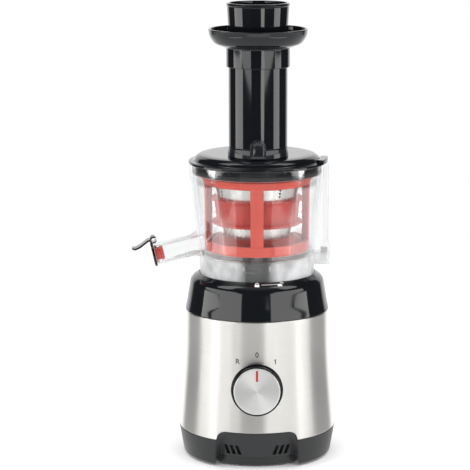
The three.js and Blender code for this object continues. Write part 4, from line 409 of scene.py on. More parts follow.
# %% The plastics and inks of this juicer
gloss_black = moulded("gloss black plastic", (0.005, 0.006, 0.0075), 0.06, 0.02, 260.0, 0.00003, 0.03)
dark_plastic = moulded("dark grained plastic", (0.015, 0.016, 0.0175), 0.38, 0.05, 1500.0, 0.00008, 0.3)
boot_plastic = moulded("satin black plastic", (0.010, 0.012, 0.015), 0.13, 0.03, 600.0, 0.00003, 0.08)
inner_plastic = moulded("inner dark plastic", (0.02, 0.02, 0.021), 0.45)
white_plastic = moulded("white plastic", (0.72, 0.72, 0.69), 0.35)
red_plastic = moulded("red plastic", (0.62, 0.072, 0.048), 0.26, 0.05, 700.0, 0.00003, 0.2)
red_rubber = moulded("red silicone", (0.62, 0.07, 0.055), 0.45, 0.06, 1300.0, 0.00005, 0.3)
black_rubber = moulded("black rubber", (0.02, 0.02, 0.021), 0.75, 0.08, 1400.0, 0.0001, 0.5)
red_paint = moulded("red paint", (0.40, 0.02, 0.03), 0.3)
dial_ink = moulded("grey printing", (0.03, 0.03, 0.033), 0.55)
mark_ink = moulded("white printing", (0.85, 0.85, 0.85), 0.4)

# %% The metals of this juicer
shell_steel = brushed("brushed steel", (0.80, 0.788, 0.762), 0.33, (30.0, 30.0, 4200.0), spread=0.03,
                      anisotropic=0.85)
sieve_steel = brushed("strainer steel", (0.62, 0.61, 0.595), 0.28, (170.0, 170.0, 8.0), 0.10)
zinc = brushed("zinc plate", (0.55, 0.56, 0.58), 0.35, (300.0, 300.0, 300.0))
iron = brushed("laminated iron", (0.17, 0.17, 0.18), 0.5, (60.0, 60.0, 2600.0))
brass = brushed("brass bush", (0.62, 0.46, 0.18), 0.3, (100.0, 100.0, 900.0))
aluminium = spun("spun aluminium", (0.90, 0.90, 0.89), 0.42)

# %% The two clear plastics
clear = see_through("clear polycarbonate", (0.996, 0.998, 0.998), (0.78, 0.81, 0.83), (0.93, 0.95, 0.96),
                    haze=0.006, haze_edge=0.05, roughness=0.05, gloss=0.4, power=6.0, foot=0.66)
red_clear = see_through("clear red plastic", (0.96, 0.42, 0.37), (0.78, 0.15, 0.11), (0.85, 0.11, 0.075),
                        haze=0.34, haze_edge=0.7, roughness=0.12, gloss=0.4, power=2.2)
print(len(bpy.data.materials), "finishes")

# %% [markdown]
# ## The base
# The steel shell is one turned sheet, one millimetre thick, that flares towards its foot. A wide notch is
# cut in its front for the vent panel, so the lower edge of the sheet follows the notch.

# %% Lines of the base
SHELL_TOP, SHELL_FOOT, SHELL_LOW, SHELL_HIGH = 69.2, 75.3, 26.3, 141.0
FLARE = np.array([(0, 0), (0.15, 0.03), (0.3, 0.085), (0.5, 0.28), (0.72, 0.6), (1, 1)])
SHEET, EDGE_DRAW, EDGE_GAP, BESIDE_NOTCH = 1.0, 0.3, 0.3, -9.0
NOTCH_FOOT, NOTCH_SIDE, NOTCH_SHOULDER, NOTCH_TOP, NOTCH_HEIGHT = 40.0, 38.0, 25.0, 28.0, 35.0


def shell_radius(z):
    """Radius of the steel at a height: the flare is a smooth curve through a few shares."""
    down = np.clip((SHELL_HIGH - np.asarray(z, float)) / (SHELL_HIGH - SHELL_LOW), 0, 1)
    fine = np.linspace(0, 1, 201)
    curve = np.interp(fine, FLARE[:, 0], FLARE[:, 1])
    curve = np.convolve(np.pad(curve, 12, mode="reflect", reflect_type="odd"), np.ones(25) / 25, "valid")
    return SHELL_TOP + (SHELL_FOOT - SHELL_TOP) * np.interp(down, fine, curve)


def notch_curve(grow=0.0):
    """The notch's rounded shoulder, (half width, height) from the side up to the flat top:
    B(t) = (1-t)^2 side + 2t(1-t) corner + t^2 top."""
    t = np.linspace(0, 1, 25)[:, None]
    side = np.array([NOTCH_SIDE + grow, NOTCH_SHOULDER])
    corner = np.array([NOTCH_SIDE + grow, NOTCH_HEIGHT + grow])
    top = np.array([NOTCH_TOP, NOTCH_HEIGHT + grow])
    return (1 - t) ** 2 * side + 2 * t * (1 - t) * corner + t ** 2 * top


def notch_half(z):
    """Half the notch's width at a height."""
    z = np.asarray(z, float)
    curve = notch_curve()
    lower = NOTCH_FOOT + (NOTCH_SIDE - NOTCH_FOOT) * (z + 3) / (NOTCH_SHOULDER + 3)
    return np.where(z < NOTCH_SHOULDER, lower, np.interp(z, curve[:, 1], curve[:, 0]))


def notch_low(x, grow=0.0):
    """Height of the notch's edge at a distance from the middle, or far below the shell beside the notch."""
    curve = notch_curve(grow)[::-1]
    return np.interp(np.abs(x), curve[:, 0], curve[:, 1], NOTCH_HEIGHT + grow, BESIDE_NOTCH)


print("shell radius at the foot", shell_radius(SHELL_LOW), "and at the top", shell_radius(SHELL_HIGH))

# %% Steel shell
FINE_HALF, FINE_RADIUS, AWAY = 41.0, 75.0, 99.0
front = np.arcsin(np.linspace(-1, 1, 221) * FINE_HALF / FINE_RADIUS) - np.pi / 2
rest = np.linspace(front[-1], front[0] + 2 * np.pi, 200)[1:-1]
angle = np.concatenate([front, rest])
off_middle = np.where(np.sin(angle) < 0, shell_radius(NOTCH_HEIGHT) * np.cos(angle), AWAY)
low = np.maximum(notch_low(off_middle, EDGE_GAP), SHELL_LOW)
share = np.concatenate([[0, 0.002], np.linspace(0.006, 0.992, 60), [0.997, 1]])
height = low[:, None] + (SHELL_HIGH - low[:, None]) * share
draw = np.zeros_like(share)
draw[0] = draw[-1] = EDGE_DRAW
outer_r, inner_r = shell_radius(height) - draw, shell_radius(height) - SHEET + draw
radius = np.concatenate([outer_r, inner_r[:, ::-1]], 1)
height = np.concatenate([height, height[:, ::-1]], 1)
shell_grid = np.stack([radius * np.cos(angle)[:, None], radius * np.sin(angle)[:, None], height], -1)
piece("shell", [(shell_grid, True, True)], "base", shell_steel, ["steel_shell"])

# %% [markdown]
# The collar closes the shell with gloss black plastic. Its side leans in to a soft ridge, then a chamfer
# with the two padlocks leads to the mouth of the well. The drive's tower stands in the middle of the well.

# %% Collar
CHAMFER_FOOT, CHAMFER_TOP = (61.5, 173.1), (56.0, 176.6)
collar_profile = rounded([
    (69.2, 141.3), (67.4, 150.2), (64.7, 166.6), (63.9, 170.0), CHAMFER_FOOT, CHAMFER_TOP, (55.3, 176.6),
    (55.3, 168.0), (16.5, 168.0), (16.5, 178.0), (6.4, 178.0), (6.4, 175.0), (13.5, 175.0), (13.5, 165.0),
    (62.1, 165.0), (65.9, 141.3), (65.9, 135.3), (67.9, 135.3), (67.9, 141.3)],
    [0.5, 6.0, 3.0, 1.6, 3.0, 0.9, 0.3, 0.8, 0.8, 0.8, 0.3, 0.3, 0.5, 0.5, 0.5, 0.5, 0.3, 0.3, 0.2], 5)
piece("collar", [(turned(collar_profile, 220), True, True)], "base", gloss_black,
      ["top_collar"])

# %% Drive shaft and seal
drive_profile = rounded([
    (6.0, 108.0), (6.0, 182.5), (14.5, 182.5), (14.5, 190.5), (10.2, 190.5), (10.2, 184.5), (0.01, 184.5),
    (0.01, 108.0)], 0.6, 4)
piece("drive_cup", [(turned(drive_profile, 72), True, True)], "drive", inner_plastic,
      ["drive_shaft"])
seal_profile = rounded([(6.4, 178.3), (12.0, 178.3), (11.4, 179.9), (11.7, 181.5), (6.4, 181.5)], 0.5, 4)
piece("shaft_seal", [(turned(seal_profile, 72), True, True)], "base", black_rubber, ["drive_seal"])

# %% [markdown]
# The skirt is a dark moulding with a fine grain. It is open at the front, where a recessed panel with six
# slanted vents leans out from the foot to the shell, between two walls that lean in. The panel's grid is
# sheared so that its lines run along the vents, and the cells of each vent become a pocket.

# %% Skirt
SKIRT = np.array([
    (68.6, 0), (70.4, 0.5), (71.3, 1.75), (72.2, 7), (75.3, 25.2), (75.5, 25.7), (75.3, 26), (74.0, 26),
    (73.6, 31.5), (71.6, 32), (71.8, 25), (70.0, 7), (66.4, 0.2)])
skirt_line = rounded(SKIRT, 0.4, 2)
start_angle = np.arcsin(np.clip(notch_half(skirt_line[:, 1]) / skirt_line[:, 0], 0, 1))
turn = np.linspace(0, 1, 200)[:, None]
skirt_angle = -np.pi / 2 + start_angle + turn * (2 * np.pi - 2 * start_angle)
skirt_grid = np.stack([skirt_line[:, 0] * np.cos(skirt_angle), skirt_line[:, 0] * np.sin(skirt_angle),
                       skirt_line[:, 1] + 0 * skirt_angle], -1)
ends = []
for end in (0, -1):
    rim = skirt_grid[end]
    ends.append((np.stack([rim, np.broadcast_to(rim.mean(0), rim.shape)], 0), False, True))

# %% Grid of the vent panel
VENT_X, VENT_W, VENT_LOW, VENT_HIGH = [17.5, 22.7, 27.9], 3.3, 11, 21
VENT_SLANT, VENT_BORDER = np.radians(20), 0.25
PANEL_LINE = np.array([
    (60.8, 0), (61.0, 0.4), (61.6, 8.6), (61.9, 9.0), (63.2, 9.2), (63.6, 9.8), (73.2, 35.0)])
cells = np.concatenate([[x - VENT_W / 2, x + VENT_W / 2] for x in VENT_X])
by_cells = np.sort(np.concatenate([cells, cells + VENT_BORDER, cells - VENT_BORDER]))
side_lines = np.unique(np.concatenate([np.linspace(0, cells[0], 9), by_cells,
                                       np.linspace(cells[-1] + VENT_BORDER, NOTCH_SIDE, 8)]))
lines = np.concatenate([-side_lines[::-1], side_lines[1:]])
rows = np.unique(np.concatenate([np.linspace(0, 9.8, 12), [8.6, 9.0, 9.2], np.linspace(9.8, 10.8, 3),
                                 np.linspace(VENT_LOW, VENT_HIGH, 13),
                                 np.linspace(VENT_HIGH, NOTCH_HEIGHT, 30)]))
print("vent panel:", len(lines), "lines and", len(rows), "rows")

# %% Shear and lean of the panel
WALL_LEAN, LEAN_FROM = 5.0, 31.0
shear = np.interp(rows, [9.8, VENT_LOW, VENT_HIGH, 24], [0, -5, 5, 0]) * np.tan(VENT_SLANT)
sheared = np.interp(np.abs(lines), [0, cells[0], cells[-1], 36], [0, 1, 1, 0])
x = lines[:, None] + np.sign(lines)[:, None] * shear * sheared[:, None]
x = x / NOTCH_SIDE * notch_half(rows)
inward = np.clip((np.abs(x) - LEAN_FROM) / (notch_half(rows) - LEAN_FROM), 0, 1)
x = x - np.sign(x) * WALL_LEAN * inward
panel_r = np.interp(rows, PANEL_LINE[:, 1], PANEL_LINE[:, 0])
panel_grid = np.stack([x, -np.sqrt(panel_r ** 2 - x ** 2), rows + 0 * x], -1)

# %% Side walls and ceiling of the niche
UNDER_SKIN, SKIRT_TOP = 0.15, 26
skirt_r = np.interp(rows, SKIRT[:6, 1], SKIRT[:6, 0])
skin_r = np.where(rows < SKIRT_TOP, skirt_r, shell_radius(rows)) - UNDER_SKIN
side = notch_half(rows)
skin_y = -np.sqrt(skin_r ** 2 - side ** 2)
wall_share = np.array([1, 0.97, 0.9, 0.6, 0.3, 0.1, 0.02])[:, None]


def niche_wall(sign):
    """The side of the niche, from the skirt's skin back to the panel's edge."""
    edge = panel_grid[-1 if sign > 0 else 0]
    depth = edge[:, 1] + (skin_y - edge[:, 1]) * wall_share
    across = edge[:, 0] + (sign * side - edge[:, 0]) * wall_share
    return np.stack([across, depth, rows + 0 * depth], -1)


panel_all = np.concatenate([niche_wall(-1), panel_grid, niche_wall(1)[::-1]], 0)
top_row = panel_all[:, -1:]
over = np.array([0.05, 0.4, 0.8, 0.97, 1.0])[None, :, None]
skin_top = top_row.copy()
skin_top[..., 1] = -np.sqrt(shell_radius(NOTCH_HEIGHT) ** 2 - skin_top[..., 0] ** 2) + UNDER_SKIN
ceiling = top_row + (skin_top - top_row) * over + np.array([0, 0, 0.25]) * over
panel_all = np.concatenate([panel_all, ceiling], 1)

# %% Pockets of the vents
POCKET = np.array([0, 4.0, 0])
first = wall_share.shape[0]
low_row, high_row = np.searchsorted(rows, VENT_LOW - 1e-6), np.searchsorted(rows, VENT_HIGH - 1e-6)
pockets, holes = [], np.zeros(panel_all.shape[:2], bool)
for centre in [sign * x for x in VENT_X for sign in (-1, 1)]:
    a = first + np.argmin(np.abs(lines - (centre - VENT_W / 2)))
    b = first + np.argmin(np.abs(lines - (centre + VENT_W / 2)))
    mouth = panel_all[a:b + 1, low_row:high_row + 1]
    rim = np.concatenate([mouth[:, 0], mouth[-1, 1:], mouth[-2::-1, -1], mouth[0, -2:0:-1]])
    pockets.append((np.stack([rim, rim + POCKET], 0), False, True))
    pockets.append((mouth + POCKET, False, False))
    holes[a:b, low_row:high_row] = True
print(len(pockets) // 2, "vents")

# %% Panel round the pockets
last_line, last_row = panel_all.shape[0] - 1, panel_all.shape[1] - 1
panel_parts = []
for low_band, high_band in [(0, low_row), (low_row, high_row), (high_row, last_row)]:
    filled = ~holes[:, low_band]
    borders = np.flatnonzero(np.diff(filled[:-1].astype(int))) + 1
    borders = np.concatenate([[0], borders, [last_line]])
    for a, b in zip(borders[:-1], borders[1:]):
        if filled[a]:
            panel_parts.append((panel_all[a:b + 1, low_band:high_band + 1], False, False))
piece("skirt", [(skirt_grid, False, True), *ends], "base", dark_plastic, ["chassis"])
piece("vent_panel", panel_parts + pockets, "base", dark_plastic)

# %% [markdown]
# ## The knob
# The knob sits square on the leaning shell. A black seat carries a black body, and on it lies a disc of
# spun aluminium with a bright chamfered edge and a red pointer.

# %% Axis of the knob
LEAN = np.radians(3.976)
knob_axes = np.array([(1, 0, 0), (0, np.sin(LEAN), np.cos(LEAN)), (0, -np.cos(LEAN), np.sin(LEAN))])
knob_origin = (0, -71.42, 77.0)


def on_knob(name, grid, body, finish, node, wraps=True):
    """One piece from a grid in the knob's frame: x to the right, y up the shell and z out of it."""
    return piece(name, [(placed(grid, knob_origin, knob_axes), wraps, True)], body, finish, [node])


# %% Seat, body, disc and pointer
seat_profile = rounded([(10.0, -5.5), (24.5, -5.5), (24.5, 1.5), (10.0, 1.5)], 0.5, 4)
on_knob("knob_seat", turned(seat_profile, 120), "base", gloss_black, "knob_bezel")
body_profile = rounded([(3.0, 2.0), (23.4, 2.0), (23.4, 9.0), (22.75, 9.0), (22.75, 8.6), (0.01, 8.6),
                        (0.01, -3.0), (3.0, -3.0)], [0.2, 0.8, 0.5, 0.1, 0.1, 0.01, 0.01, 0.3], 4)
on_knob("knob_cap", turned(body_profile, 160), "knob", gloss_black, "knob_body")
disc_edge = [(21.9, 9.3), (21.9, 9.55), (21.7, 9.85), (21.25, 10.15), (21.1, 10.2)]
disc_top = np.stack([np.linspace(20.8, 0.01, 24), np.full(24, 10.2)], 1)
disc_profile = np.concatenate([disc_edge, disc_top, [(0.01, 9.3)]])
on_knob("knob_face", turned(disc_profile, 200), "knob", aluminium, "knob_disc")
pointer_grid = block((-1.05, 9.5, 9.4), (1.05, 20.0, 10.45), 0.35)[0]
on_knob("knob_mark", pointer_grid, "knob", red_paint, "knob_pointer", False)

# %% [markdown]
# ## The bowl
# The bowl is one clear moulding: the juice bowl with its floor, the foot that drops into the collar, the
# side column of the safety switch, the pulp channel and the spout. Each of them is a closed surface, and a
# boolean joins them, because a wall left inside clear plastic would show. The inside and the bores are cut
# out last.

# %% Body of the bowl
bowl_line = rounded([
    (54.9, 168.3), (54.9, 194.4), (56.1, 196.8), (63.1, 264), (64.5, 267), (65, 282), (62.2, 282),
    (62.2, 272.5), (60.9, 272.5), (60.9, 264), (53.9, 198), (9.6, 198), (9.6, 191), (13, 191), (13, 195.6),
    (52.9, 195.6), (52.9, 168.3)],
    [0.8, 1.5, 3.0, 3.0, 2.0, 0.9, 0.7, 0.4, 0.4, 2.0, 3.0, 0.5, 0.6, 0.6, 0.8, 1.6, 0.6], 5)
inside_line = [(0.01, 198.0), (53.9, 198.0), (60.9, 264), (60.9, 272.5), (62.2, 272.5), (62.2, 300),
               (0.01, 300)]


def whole_turn(name, profile, centre=(0, 0), sides=240):
    """A closed profile turned about an upright axis."""
    return surface(name, [(turned(profile, sides) + (*centre, 0), True, True)])


def bowl_inside():
    """The room inside the bowl, which nothing that is joined to its wall may fill."""
    return whole_turn("inside", inside_line)


print("bowl profile:", len(bowl_line), "points")

# %% Column and foot
COLUMN_X, COLUMN_Y = 68.4, 5.5
LUG_TURNS, LUG_HALF = (-131, -90, -49, 49, 90, 131), 7
column = surface("column", [block((54.9, -COLUMN_Y, 201.0), (COLUMN_X, COLUMN_Y, 281.7), 1.0)])
column_block = surface("block", [block((53.4, -7, 184), (69.7, 7, 204.5), 1.2)])
lug_line = rounded([(53.9, 168.3), (57.4, 168.3), (57.4, 171.3), (53.9, 171.3)], 0.5, 3)
lugs = [surface("lug", [sector(lug_line, middle - LUG_HALF, middle + LUG_HALF, 14)]) for middle in LUG_TURNS]
boss_line = rounded([(0.01, 190.5), (5.5, 190.5), (5.5, 196.5), (0.01, 196.5)], [0.01, 0.8, 0.3, 0.01])
boss = whole_turn("boss", boss_line, (0, -29), 48)
print(len(lugs), "bayonet lugs round the foot")

# %% Pulp channel and the rooms that are cut out
ROD_X, ROD_ROOM = 65.2, 1.7
channel = surface("channel", [block((-11.2, 17.8, 181.6), (11.2, 82, 196.8), 0.9)])
channel_room = surface("room", [block((-9, 20.2, 183.8), (9, 90, 194.0), 0.8)])
drop = surface("drop", [block((-9, 20.2, 184.5), (9, 30.8, 200.5), 0.8)])
rod_room = surface("rod_room", [block((ROD_X - ROD_ROOM, -ROD_ROOM, 195),
                                      (ROD_X + ROD_ROOM, ROD_ROOM, 290), 0.3)])
spring_room = surface("spring_room", [block((61.02, -3.38, 180), (67.78, 3.38, 202.95), 0.03)])

# %% [markdown]
# The spout leaves the bowl a little to the front and slopes down, so everything on it is laid out in the
# spout's own frame: x runs out along the bore, y across it and z up. Two ears with a bar between them carry
# the stopper's lever.

# %% The spout's frame
TURN, DROP, SPOUT_ROOT = np.radians(6), np.radians(13), 56.1
spout_axes = np.array([
    (-np.cos(DROP) * np.cos(TURN), -np.cos(DROP) * np.sin(TURN), -np.sin(DROP)),
    (np.sin(TURN), -np.cos(TURN), 0),
    (-np.sin(DROP) * np.cos(TURN), -np.sin(DROP) * np.sin(TURN), np.cos(DROP))])
spout_origin = (-SPOUT_ROOT * np.cos(TURN), -SPOUT_ROOT * np.sin(TURN), 204.4)
along_x = np.array([(0, 1, 0), (0, 0, 1), (1, 0, 0)])
along_y = np.array([(1, 0, 0), (0, 0, 1), (0, 1, 0)])
PIVOT_X, PIVOT_Z = 41.6, 14.9


def on_spout(name, grids):
    """A closed surface given in the spout's frame."""
    return surface(name, [(placed(grid, spout_origin, spout_axes), u, v) for grid, u, v in grids])


def spout_turn(name, profile):
    """A profile (r, x) turned about the spout's axis."""
    return on_spout(name, [(turned(profile, 96) @ along_x, True, True)])


def arc_points(centre, radius, start_deg, end_deg, count):
    """Points centre + radius (cos, sin) on a circle from one angle to another."""
    angle = np.radians(np.linspace(start_deg, end_deg, count))
    return np.stack([centre[0] + radius * np.cos(angle), centre[1] + radius * np.sin(angle)], 1)


print("spout origin", np.round(spout_origin, 1))

# %% Spout
tube_line = rounded([(0.01, -4.4), (10.4, -4.4), (10.4, 42.5), (0.01, 42.5)], [0.01, 0.3, 0.6, 0.01], 5)
tube = spout_turn("tube", tube_line)
root_swell = spout_turn("swell", rounded([(0.01, -4), (15.5, -4), (11.6, 3.2), (10.3, 6.5), (0.01, 6.5)],
                                         [0.01, 0.5, 3.0, 1.5, 0.01], 6))
bore = spout_turn("bore", rounded([(0.01, -12), (8.8, -12), (8.8, 50), (0.01, 50)], 0.01, 1))

# %% Ears and bar for the stopper
EAR_Y, EAR_HALF = 7.2, 0.8
ear_line = np.concatenate([[(33.5, 6.0), (42.5, 6.0), (42.5, 12.2)],
                           arc_points((PIVOT_X, PIVOT_Z), 2.7, -35, 150, 16), [(35.5, 10.5)]])
ears = []
for ear_y in (-EAR_Y, EAR_Y):
    ear_grid = extruded(ear_line, ear_y - EAR_HALF, ear_y + EAR_HALF, 0.35)[0] @ along_y
    ears.append(on_spout("ear", [(ear_grid, False, True)]))
bar_line = rounded([(0.01, -7.5), (1.5, -7.5), (1.5, 7.5), (0.01, 7.5)], 0.01, 1)
bar = on_spout("bar", [(turned(bar_line, 24) @ along_y + (PIVOT_X, 0, PIVOT_Z), True, True)])

# %% Bowl in one body
outside_parts = carve("outside", [column, column_block, tube, root_swell], [bowl_inside()])
bowl = carve("bowl_clear", [whole_turn("wall", bowl_line), outside_parts, *ears, bar, *lugs, boss, channel],
             [channel_room, drop, rod_room, spring_room, bore], 30)
show("bowl_clear", bowl, "bowl", clear, ["bowl"])

# %% [markdown]
# ## The strainer
# The strainer stands in the bowl. Its sieve is a cone of thin steel with four columns of three drain holes
# near the top, a clear red belt stiffens it, and a clear red crown and floor hold it at the top and bottom.

# %% Sieve with its holes
sieve_rows = np.linspace(0, 1, 40)[:, None]
SIEVE_RISE = (7.9, 55.0)
sieve_line = np.concatenate([(32.7, 208.3) + sieve_rows * SIEVE_RISE, (39.8, 263.3) - sieve_rows * SIEVE_RISE])
DRAIN_ROWS, DRAIN_TURNS = (254.0, 257.2, 260.4), (-57.0, 33.0, 123.0, 213.0)
DRAIN_WIDE, DRAIN_HIGH = 1.2, 1.1


def drain_hole(turn_deg, z):
    """A small oval bar, (DRAIN_WIDE cos, DRAIN_HIGH sin), that points out from the axis to cut one hole."""
    turn = np.radians(turn_deg)
    axes = [(-np.sin(turn), np.cos(turn), 0), (0, 0, 1), (np.cos(turn), np.sin(turn), 0)]
    around = np.linspace(0, 2 * np.pi, 15)[:-1]
    oval = np.column_stack([DRAIN_WIDE * np.cos(around), DRAIN_HIGH * np.sin(around)])
    grid, across, along = extruded(oval, 35.0, 44.0, 0.01)
    return surface("drain_hole", [(placed(grid, (0, 0, z), axes), across, along)])


drains = [drain_hole(turn_deg, z) for turn_deg in DRAIN_TURNS for z in DRAIN_ROWS]
sieve = carve("sieve", [surface("sieve_wall", [(turned(sieve_line, 200), True, True)])], drains, 32)
show("sieve", sieve, "bowl", sieve_steel, ["strainer_sieve"])
print("sieve with", len(drains), "drain holes")

# %% Red belt and crown of the strainer
belt_line = rounded([
    (35.3, 224.2), (43, 224.2), (43, 226.6), (38.8, 226.6), (41.2, 246.6), (44, 246.6), (44, 249),
    (38.9, 249)], [0.3, 0.5, 0.6, 0.5, 0.5, 0.6, 0.5, 0.3], 4)
piece("belt", [(turned(belt_line, 200), True, True)], "bowl", red_clear, ["strainer_belt"])
crown_line = rounded([
    (40.9, 261.3), (42.8, 261.3), (42.8, 273.3), (43.8, 273.3), (43.8, 263.3), (46, 263.3), (46, 275.5),
    (39.8, 275.5), (39.8, 263.6), (40.9, 263.6)], [0.3, 0.4, 0.4, 0.3, 0.3, 0.5, 0.8, 0.6, 0.3, 0.3], 4)
piece("crown", [(turned(crown_line, 200), True, True)], "bowl", red_clear, ["strainer_top_ring"])

# %% Floor of the strainer with the pulp chute
floor_line = rounded([(15, 205.5), (43, 205.5), (43, 208), (35.7, 213), (33.7, 213), (33, 208), (15, 208)],
                     [0.5, 0.5, 0.6, 0.6, 0.5, 1.0, 0.5], 4)
chute = surface("chute", [block((-10.6, 18.4, 198.3), (10.6, 32.6, 206.75), 0.8)])
chute_room = surface("chute_room", [block((-8.6, 20.4, 190), (8.6, 30.6, 215), 0.6)])
strainer_floor = carve("strainer_floor", [whole_turn("floor", floor_line, sides=160), chute], [chute_room])
show("strainer_floor", strainer_floor, "bowl", red_clear, ["strainer_bottom"])

# %% [markdown]
# ## The wiping brush
# The brush is a red cage that turns round the strainer. Its foot is a ring gear, four broad arms stand on
# it, and a flanged ring ties them at the top. Each arm has three fine ridges outside and a soft wiper
# inside.

# %% Ring gear of the brush
TEETH, TOOTH_TIP, TOOTH_ROOT, GEAR_RIM = 44, 42.3, 46.3, 50.0
tooth_angle = np.linspace(0, 2 * np.pi, TEETH * 16, endpoint=False)
wave = (tooth_angle * TEETH / (2 * np.pi)) % 1
tooth = np.interp(wave, [0, 0.16, 0.34, 0.66, 0.84, 1], [0, 0, 1, 1, 0, 0])
bore_r = TOOTH_ROOT + (TOOTH_TIP - TOOTH_ROOT) * tooth
gear_z = np.array([199.0, 199.0, 199.3, 204.3, 204.6, 204.6, 204.3, 199.3])
rim, rim_edge = np.full_like(bore_r, GEAR_RIM), np.full_like(bore_r, GEAR_RIM - 0.3)
gear_r = np.stack([bore_r + 0.3, rim_edge, rim, rim, rim_edge, bore_r + 0.3, bore_r, bore_r], 1)
gear_grid = np.stack([gear_r * np.cos(tooth_angle)[:, None], gear_r * np.sin(tooth_angle)[:, None],
                      np.broadcast_to(gear_z, gear_r.shape)], -1)
ring_gear = surface("ring_gear", [(gear_grid, True, True)])
print(TEETH, "teeth in the ring gear")

# %% Arms of the brush
ARM_WIDTH, ARM_RADIUS, RIDGE = 12.5, 49.0, 0.45
ARMS = (-90, 0, 90, 180)


def brush_arm(middle_deg):
    """An arm that follows the cone. Its outer face swells by three cosine humps across its width."""
    half = np.degrees(ARM_WIDTH / 2 / ARM_RADIUS)
    across = np.linspace(-1, 1, 37)[:, None]
    up = np.linspace(0, 1, 30)[None, :]
    hump = RIDGE * np.clip(np.cos(across * np.pi * 3), 0, 1) * np.clip(1.15 - np.abs(across), 0, 1) ** 0.5
    soft_edge = 0.6 * np.clip((np.abs(across) - 0.9) / 0.1, 0, 1) ** 2
    outer = 49.5 + up * 0.9 + (hump - RIDGE * 0.6) * np.clip(np.minimum(up, 1 - up) * 14, 0, 1) - soft_edge
    inner = 47.1 + up * 0.9 + 0 * across + soft_edge * 0.5
    height = 206.5 + up * 57.1 + 0 * across
    radius = np.concatenate([outer, inner[:, ::-1]], 1)
    height = np.concatenate([height, height[:, ::-1]], 1)
    angle = np.radians(middle_deg + half * across)
    grid = np.stack([radius * np.cos(angle), radius * np.sin(angle), height], -1)
    ends = [np.broadcast_to(grid[k].mean(0), grid[k].shape)[None] for k in (0, -1)]
    return surface("arm", [(np.concatenate([ends[0], grid, ends[1]], 0), False, True)])


# %% Rings of the brush, and the cage in one body
foot_ring_line = rounded([(46.2, 204.0), (50, 204.0), (50, 208.4), (46.2, 208.4)], [0.2, 0.2, 0.7, 0.6])
top_ring_line = rounded([
    (48.4, 263.0), (50.9, 263.0), (52.6, 268.8), (54.6, 268.8), (54.6, 270.3), (52.6, 270.3), (52.6, 273.5),
    (48.4, 273.5)], [0.4, 0.4, 0.8, 0.4, 0.4, 0.3, 0.6, 0.6], 4)
rings = [whole_turn("foot_ring", foot_ring_line), whole_turn("top_ring", top_ring_line)]
brush = carve("brush_red", [ring_gear, *rings, *map(brush_arm, ARMS)])
show("brush_red", brush, "brush", red_plastic, ["brush_cage"])

# %% Wipers
wiper_line = rounded([(47.6, -2), (47.6, 2), (45.2, 1.9), (43.0, 0.55), (42.85, 0), (43.0, -0.55),
                      (45.2, -1.9)], [0.3, 0.3, 0.8, 0.3, 0.2, 0.3, 0.8], 3)
for side, middle in zip(("front", "right", "back", "left"), ARMS):
    turn = np.radians(middle)
    wiper_axes = np.array([(np.cos(turn), np.sin(turn), 0), (-np.sin(turn), np.cos(turn), 0), (0, 0, 1)])
    lip = extruded(wiper_line, 208.7, 263.0, 0.4)[0] @ wiper_axes
    piece(f"wiper_{side}", [(lip, False, True)], "brush", red_rubber, [f"wiper_blade_{side}"])

# %% [markdown]
# ## The stopper
# One black moulding clips over the spout's bar. Its front end is a round cap over the spout's mouth, its
# back end a curved tongue for a finger. A red silicone plug sits on the cap and fills the bore.

# %% Lever
LEVER_START, LEVER_LENGTH, LEVER_DROP = 2.65, 18.95, 4.9
lever_share = np.array([(0, 0), (0.14, 0.02), (0.3, -0.28), (0.62, -0.84), (0.86, -1), (1, -0.75)])
lever_line = np.stack([PIVOT_X + LEVER_START + LEVER_LENGTH * lever_share[:, 0],
                       PIVOT_Z + LEVER_DROP * lever_share[:, 1]], 1)
lever_line = rounded(lever_line, 2.4, 6, closed=False)
along = np.gradient(lever_line, axis=0)
along /= np.linalg.norm(along, axis=1)[:, None]
normal = np.stack([-along[:, 1], along[:, 0]], 1)
lever_section = rounded([(-6.0, -0.9), (6.0, -0.9), (6.0, 0.9), (-6.0, 0.9)], 0.8, 4)
lever_grid = np.stack([lever_line[:, None, 0] + normal[:, None, 0] * lever_section[:, 1],
                       np.broadcast_to(lever_section[:, 0], (len(lever_line), len(lever_section))),
                       lever_line[:, None, 1] + normal[:, None, 1] * lever_section[:, 1]], -1)
near_tip = np.clip((np.linspace(0, 1, len(lever_line)) - 0.9) / 0.1, 0, 1)
tip = 1 - 0.35 * near_tip ** 2
lever_grid[..., 1] *= tip[:, None]
caps = [np.broadcast_to(lever_grid[k].mean(0), lever_grid[k].shape)[None] for k in (0, -1)]
lever = on_spout("lever", [(np.concatenate([caps[0], lever_grid, caps[1]], 0), False, True)])

# %% Cap and clip
CLIP_OUTER, CLIP_INNER = 3.4, 1.9


def pivot_bar(name, radius, half_length, rounding):
    """A round bar that lies along the lever's pivot."""
    ring = arc_points((0, 0), radius, 0, 360, 49)[:-1]
    grid = extruded(ring, -half_length, half_length, rounding)[0] @ along_y
    return on_spout(name, [(grid + (PIVOT_X, 0, PIVOT_Z), False, True)])


cap_line = rounded([(0.01, 42.9), (11.5, 42.9), (11.5, 45.5), (0.01, 45.5)], [0.01, 0.4, 0.9, 0.01], 5)
cap = spout_turn("cap", cap_line)
neck = on_spout("neck", [block((42.95, -6, 5.75), (45.4, 6, 12.6), 0.5)])
clip_body, clip_hole = pivot_bar("clip", CLIP_OUTER, 6.0, 0.4), pivot_bar("clip_hole", CLIP_INNER, 9.0, 0.01)
clip_mouth = on_spout("clip_mouth", [block((PIVOT_X - 8, -9, PIVOT_Z - 1.5),
                                           (PIVOT_X - 1.0, 9, PIVOT_Z + 1.5), 0.1)])
stopper = carve("stopper_black", [cap, neck, clip_body, lever], [clip_hole, clip_mouth], 34)
show("stopper_black", stopper, "stopper", gloss_black, ["stopper_lever"])

